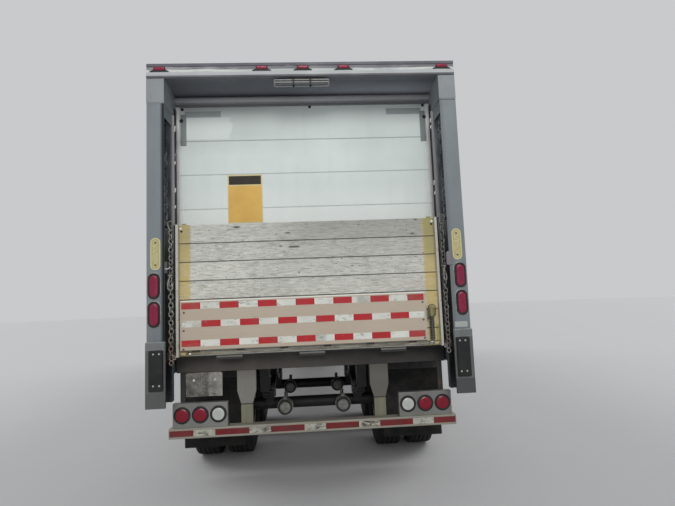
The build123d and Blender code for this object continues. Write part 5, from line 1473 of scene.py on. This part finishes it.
def studs(bm, place):
    """Ends of the studs, just out of the wheel nuts."""
    for turn in round_axle(WHEEL_NUTS):
        start, end = (place @ turn @ Vector((x, 0, NUT_RADIUS)) for x in (0.03, 0.048))
        rod(bm, start, end, 0.0105, 12)


def wheels():
    """Four pairs of twin wheels, each turned by its own amount."""
    tyre, rim, disc, hub = tyre_shape(), rim_shape(), disc_shape(), hub_shape()
    for side, hand in HANDS.items():
        for axle, y in AXLE_Y.items():
            place = Matrix.Translation((side * 0.984, y, HUB_Z))
            if side < 0:
                place = place @ HALF_TURN
            spun = place @ Matrix.Rotation(dice.uniform(0, math.tau), 4, "X")
            which = f"{axle}_{hand}"
            apart = [Matrix.Translation((x, 0, 0)) for x in (-0.1715, 0.1715)]
            both_ways = [STILL, HALF_TURN]
            for name, finish, shapes, turns, stands_for, bend in (
                    ("tyre_pair_", "tyre_rubber", (tyre,), apart, ("tyres_" + which,), 32),
                    ("wheel_pair_", "rim_white", (rim, disc), both_ways, ("rims_" + which,), 38),
                    ("hub_", "hub_black", (hub,), [STILL], (), 38)):
                bm = bmesh.new()
                for shape in shapes:
                    for turn in turns:
                        stamp(bm, shape, spun @ turn)
                if hub in shapes:
                    studs(bm, spun)
                piece(name + which, bm, finish, "wheels_" + which, stands_for, bend)


def leaf_springs():
    """Packs of three leaves, with U bolts and seats at each axle."""
    leaves = bmesh.new()
    clamps = bmesh.new()
    for y in AXLE_Y.values():
        for number, (long, thick) in enumerate(((0.56, 0.02), (0.5, 0.019), (0.4, 0.018))):
            made = bmesh.ops.create_grid(leaves, x_segments=1, y_segments=16, size=0.5)["verts"]
            bmesh.ops.scale(leaves, vec=(0.075, 2 * long, 1), verts=made)
            top = 0.6725 - number * 0.0245
            for vert in made:
                vert.co.z = top + 0.0715 * (vert.co.y / 0.56) ** 2
            bmesh.ops.translate(leaves, vec=(0.5, y, 0), verts=made)
            faces = list({f for v in made for f in v.link_faces})
            bmesh.ops.recalc_face_normals(leaves, faces=faces)
            down = faces[0].normal.z < 0
            bmesh.ops.solidify(leaves, geom=faces, thickness=-thick if down else thick)
        for d in (-0.07, 0.07):
            for x in (0.452, 0.548):
                rod(clamps, (x, y + d, 0.57), (x, y + d, 0.705), 0.0095, 12)
            rod(clamps, (0.452, y + d, 0.703), (0.548, y + d, 0.703), 0.0095, 12)
        slab(clamps, (0.446, 0.554), about(y, 0.1), (0.6735, 0.693), 0.003)
        slab(clamps, (0.446, 0.554), about(y, 0.1), (0.596, 0.604), 0.002)
    both_sides(leaves)
    both_sides(clamps)
    piece("spring_leaves", leaves, "chassis_black", stands_for=("leaf_springs",))
    piece("spring_clamps", clamps, "dull_steel")


def axles():
    """Axles and bogie frame, with the bands, noses and levers of the brake chambers."""
    rounded("chassis_black", 0, "axles")
    rounded("chassis_black", 0.004, "bogie_frame")
    x = 0.32
    bands = bmesh.new()
    for y in AXLE_Y.values():
        for middle in (y - 0.165, y - 0.245):
            rod(bands, (x, middle - 0.006, HUB_Z), (x, middle + 0.006, HUB_Z), 0.085, 36)
            slab(bands, about(x, 0.02), about(middle, 0.008), (0.583, 0.606), 0.003)
        rod(bands, (x, y - 0.3, HUB_Z), (x, y - 0.288, HUB_Z), 0.045, 28, 0.062)
        rod(bands, (x, y - 0.02, HUB_Z), (x, y - 0.02, 0.63), 0.02, 14)
    both_sides(bands)
    piece("brake_chamber_bands", bands, "dull_steel")


def mud_flaps():
    """Flaps behind the wheels, each held to its bar by a clamp with five bolts."""
    rounded("chassis_black", 0.003, "flap_bars")
    rounded("flap_rubber", 0.002, "mud_flaps")
    bolt = make_bolt(0.011, 0.007, 0.002)
    bm = bmesh.new()
    for x in (0.75, 0.87, 0.99, 1.11, 1.23):
        stamp(bm, bolt, Matrix.Translation((x, 1.06, 0.955)) @ facing(BACK))
    slab(bm, (0.695, 1.28), (1.0595, 1.0665), (0.925, 0.985), 0.002)
    both_sides(bm)
    piece("flap_clamps", bm, "chassis_black")


def landing_gear():
    """Legs with braces, feet, gearboxes, and the crank with its grip."""
    rounded("chassis_black", 0.006, "landing_legs")
    rounded("dull_steel", 0.003, "landing_feet")
    rounded("chassis_black", 0.003, "landing_braces")
    rounded("chassis_black", 0, "landing_crank")
    boxes = [((-0.93, -0.905), (8.83, 8.96), (0.86, 1.0), 0.008),
             ((0.905, 0.925), (8.84, 8.95), (0.87, 0.99), 0.008)]
    for x in (-0.85, 0.85):
        boxes.append((about(x, 0.09), (8.752, 8.8245), (0.88, 1.14), 0.006))
        boxes.append((about(x, 0.075), (8.8, 8.964), (0.54, 0.566), 0.004))
    blocks("leg_gearboxes", "chassis_black", *boxes)
    bm = bmesh.new()
    rod(bm, (-1.1775, 8.9235, 0.692), (-1.1775, 8.9235, 0.8), 0.017, 16)
    piece("crank_grip", bm, "grommet_rubber")


def coupler():
    rounded("chassis_black", 0.003, "coupler_plate")
    rounded("bright_steel", 0, "kingpin")


wheels()
leaf_springs()
axles()
mud_flaps()
landing_gear()
coupler()
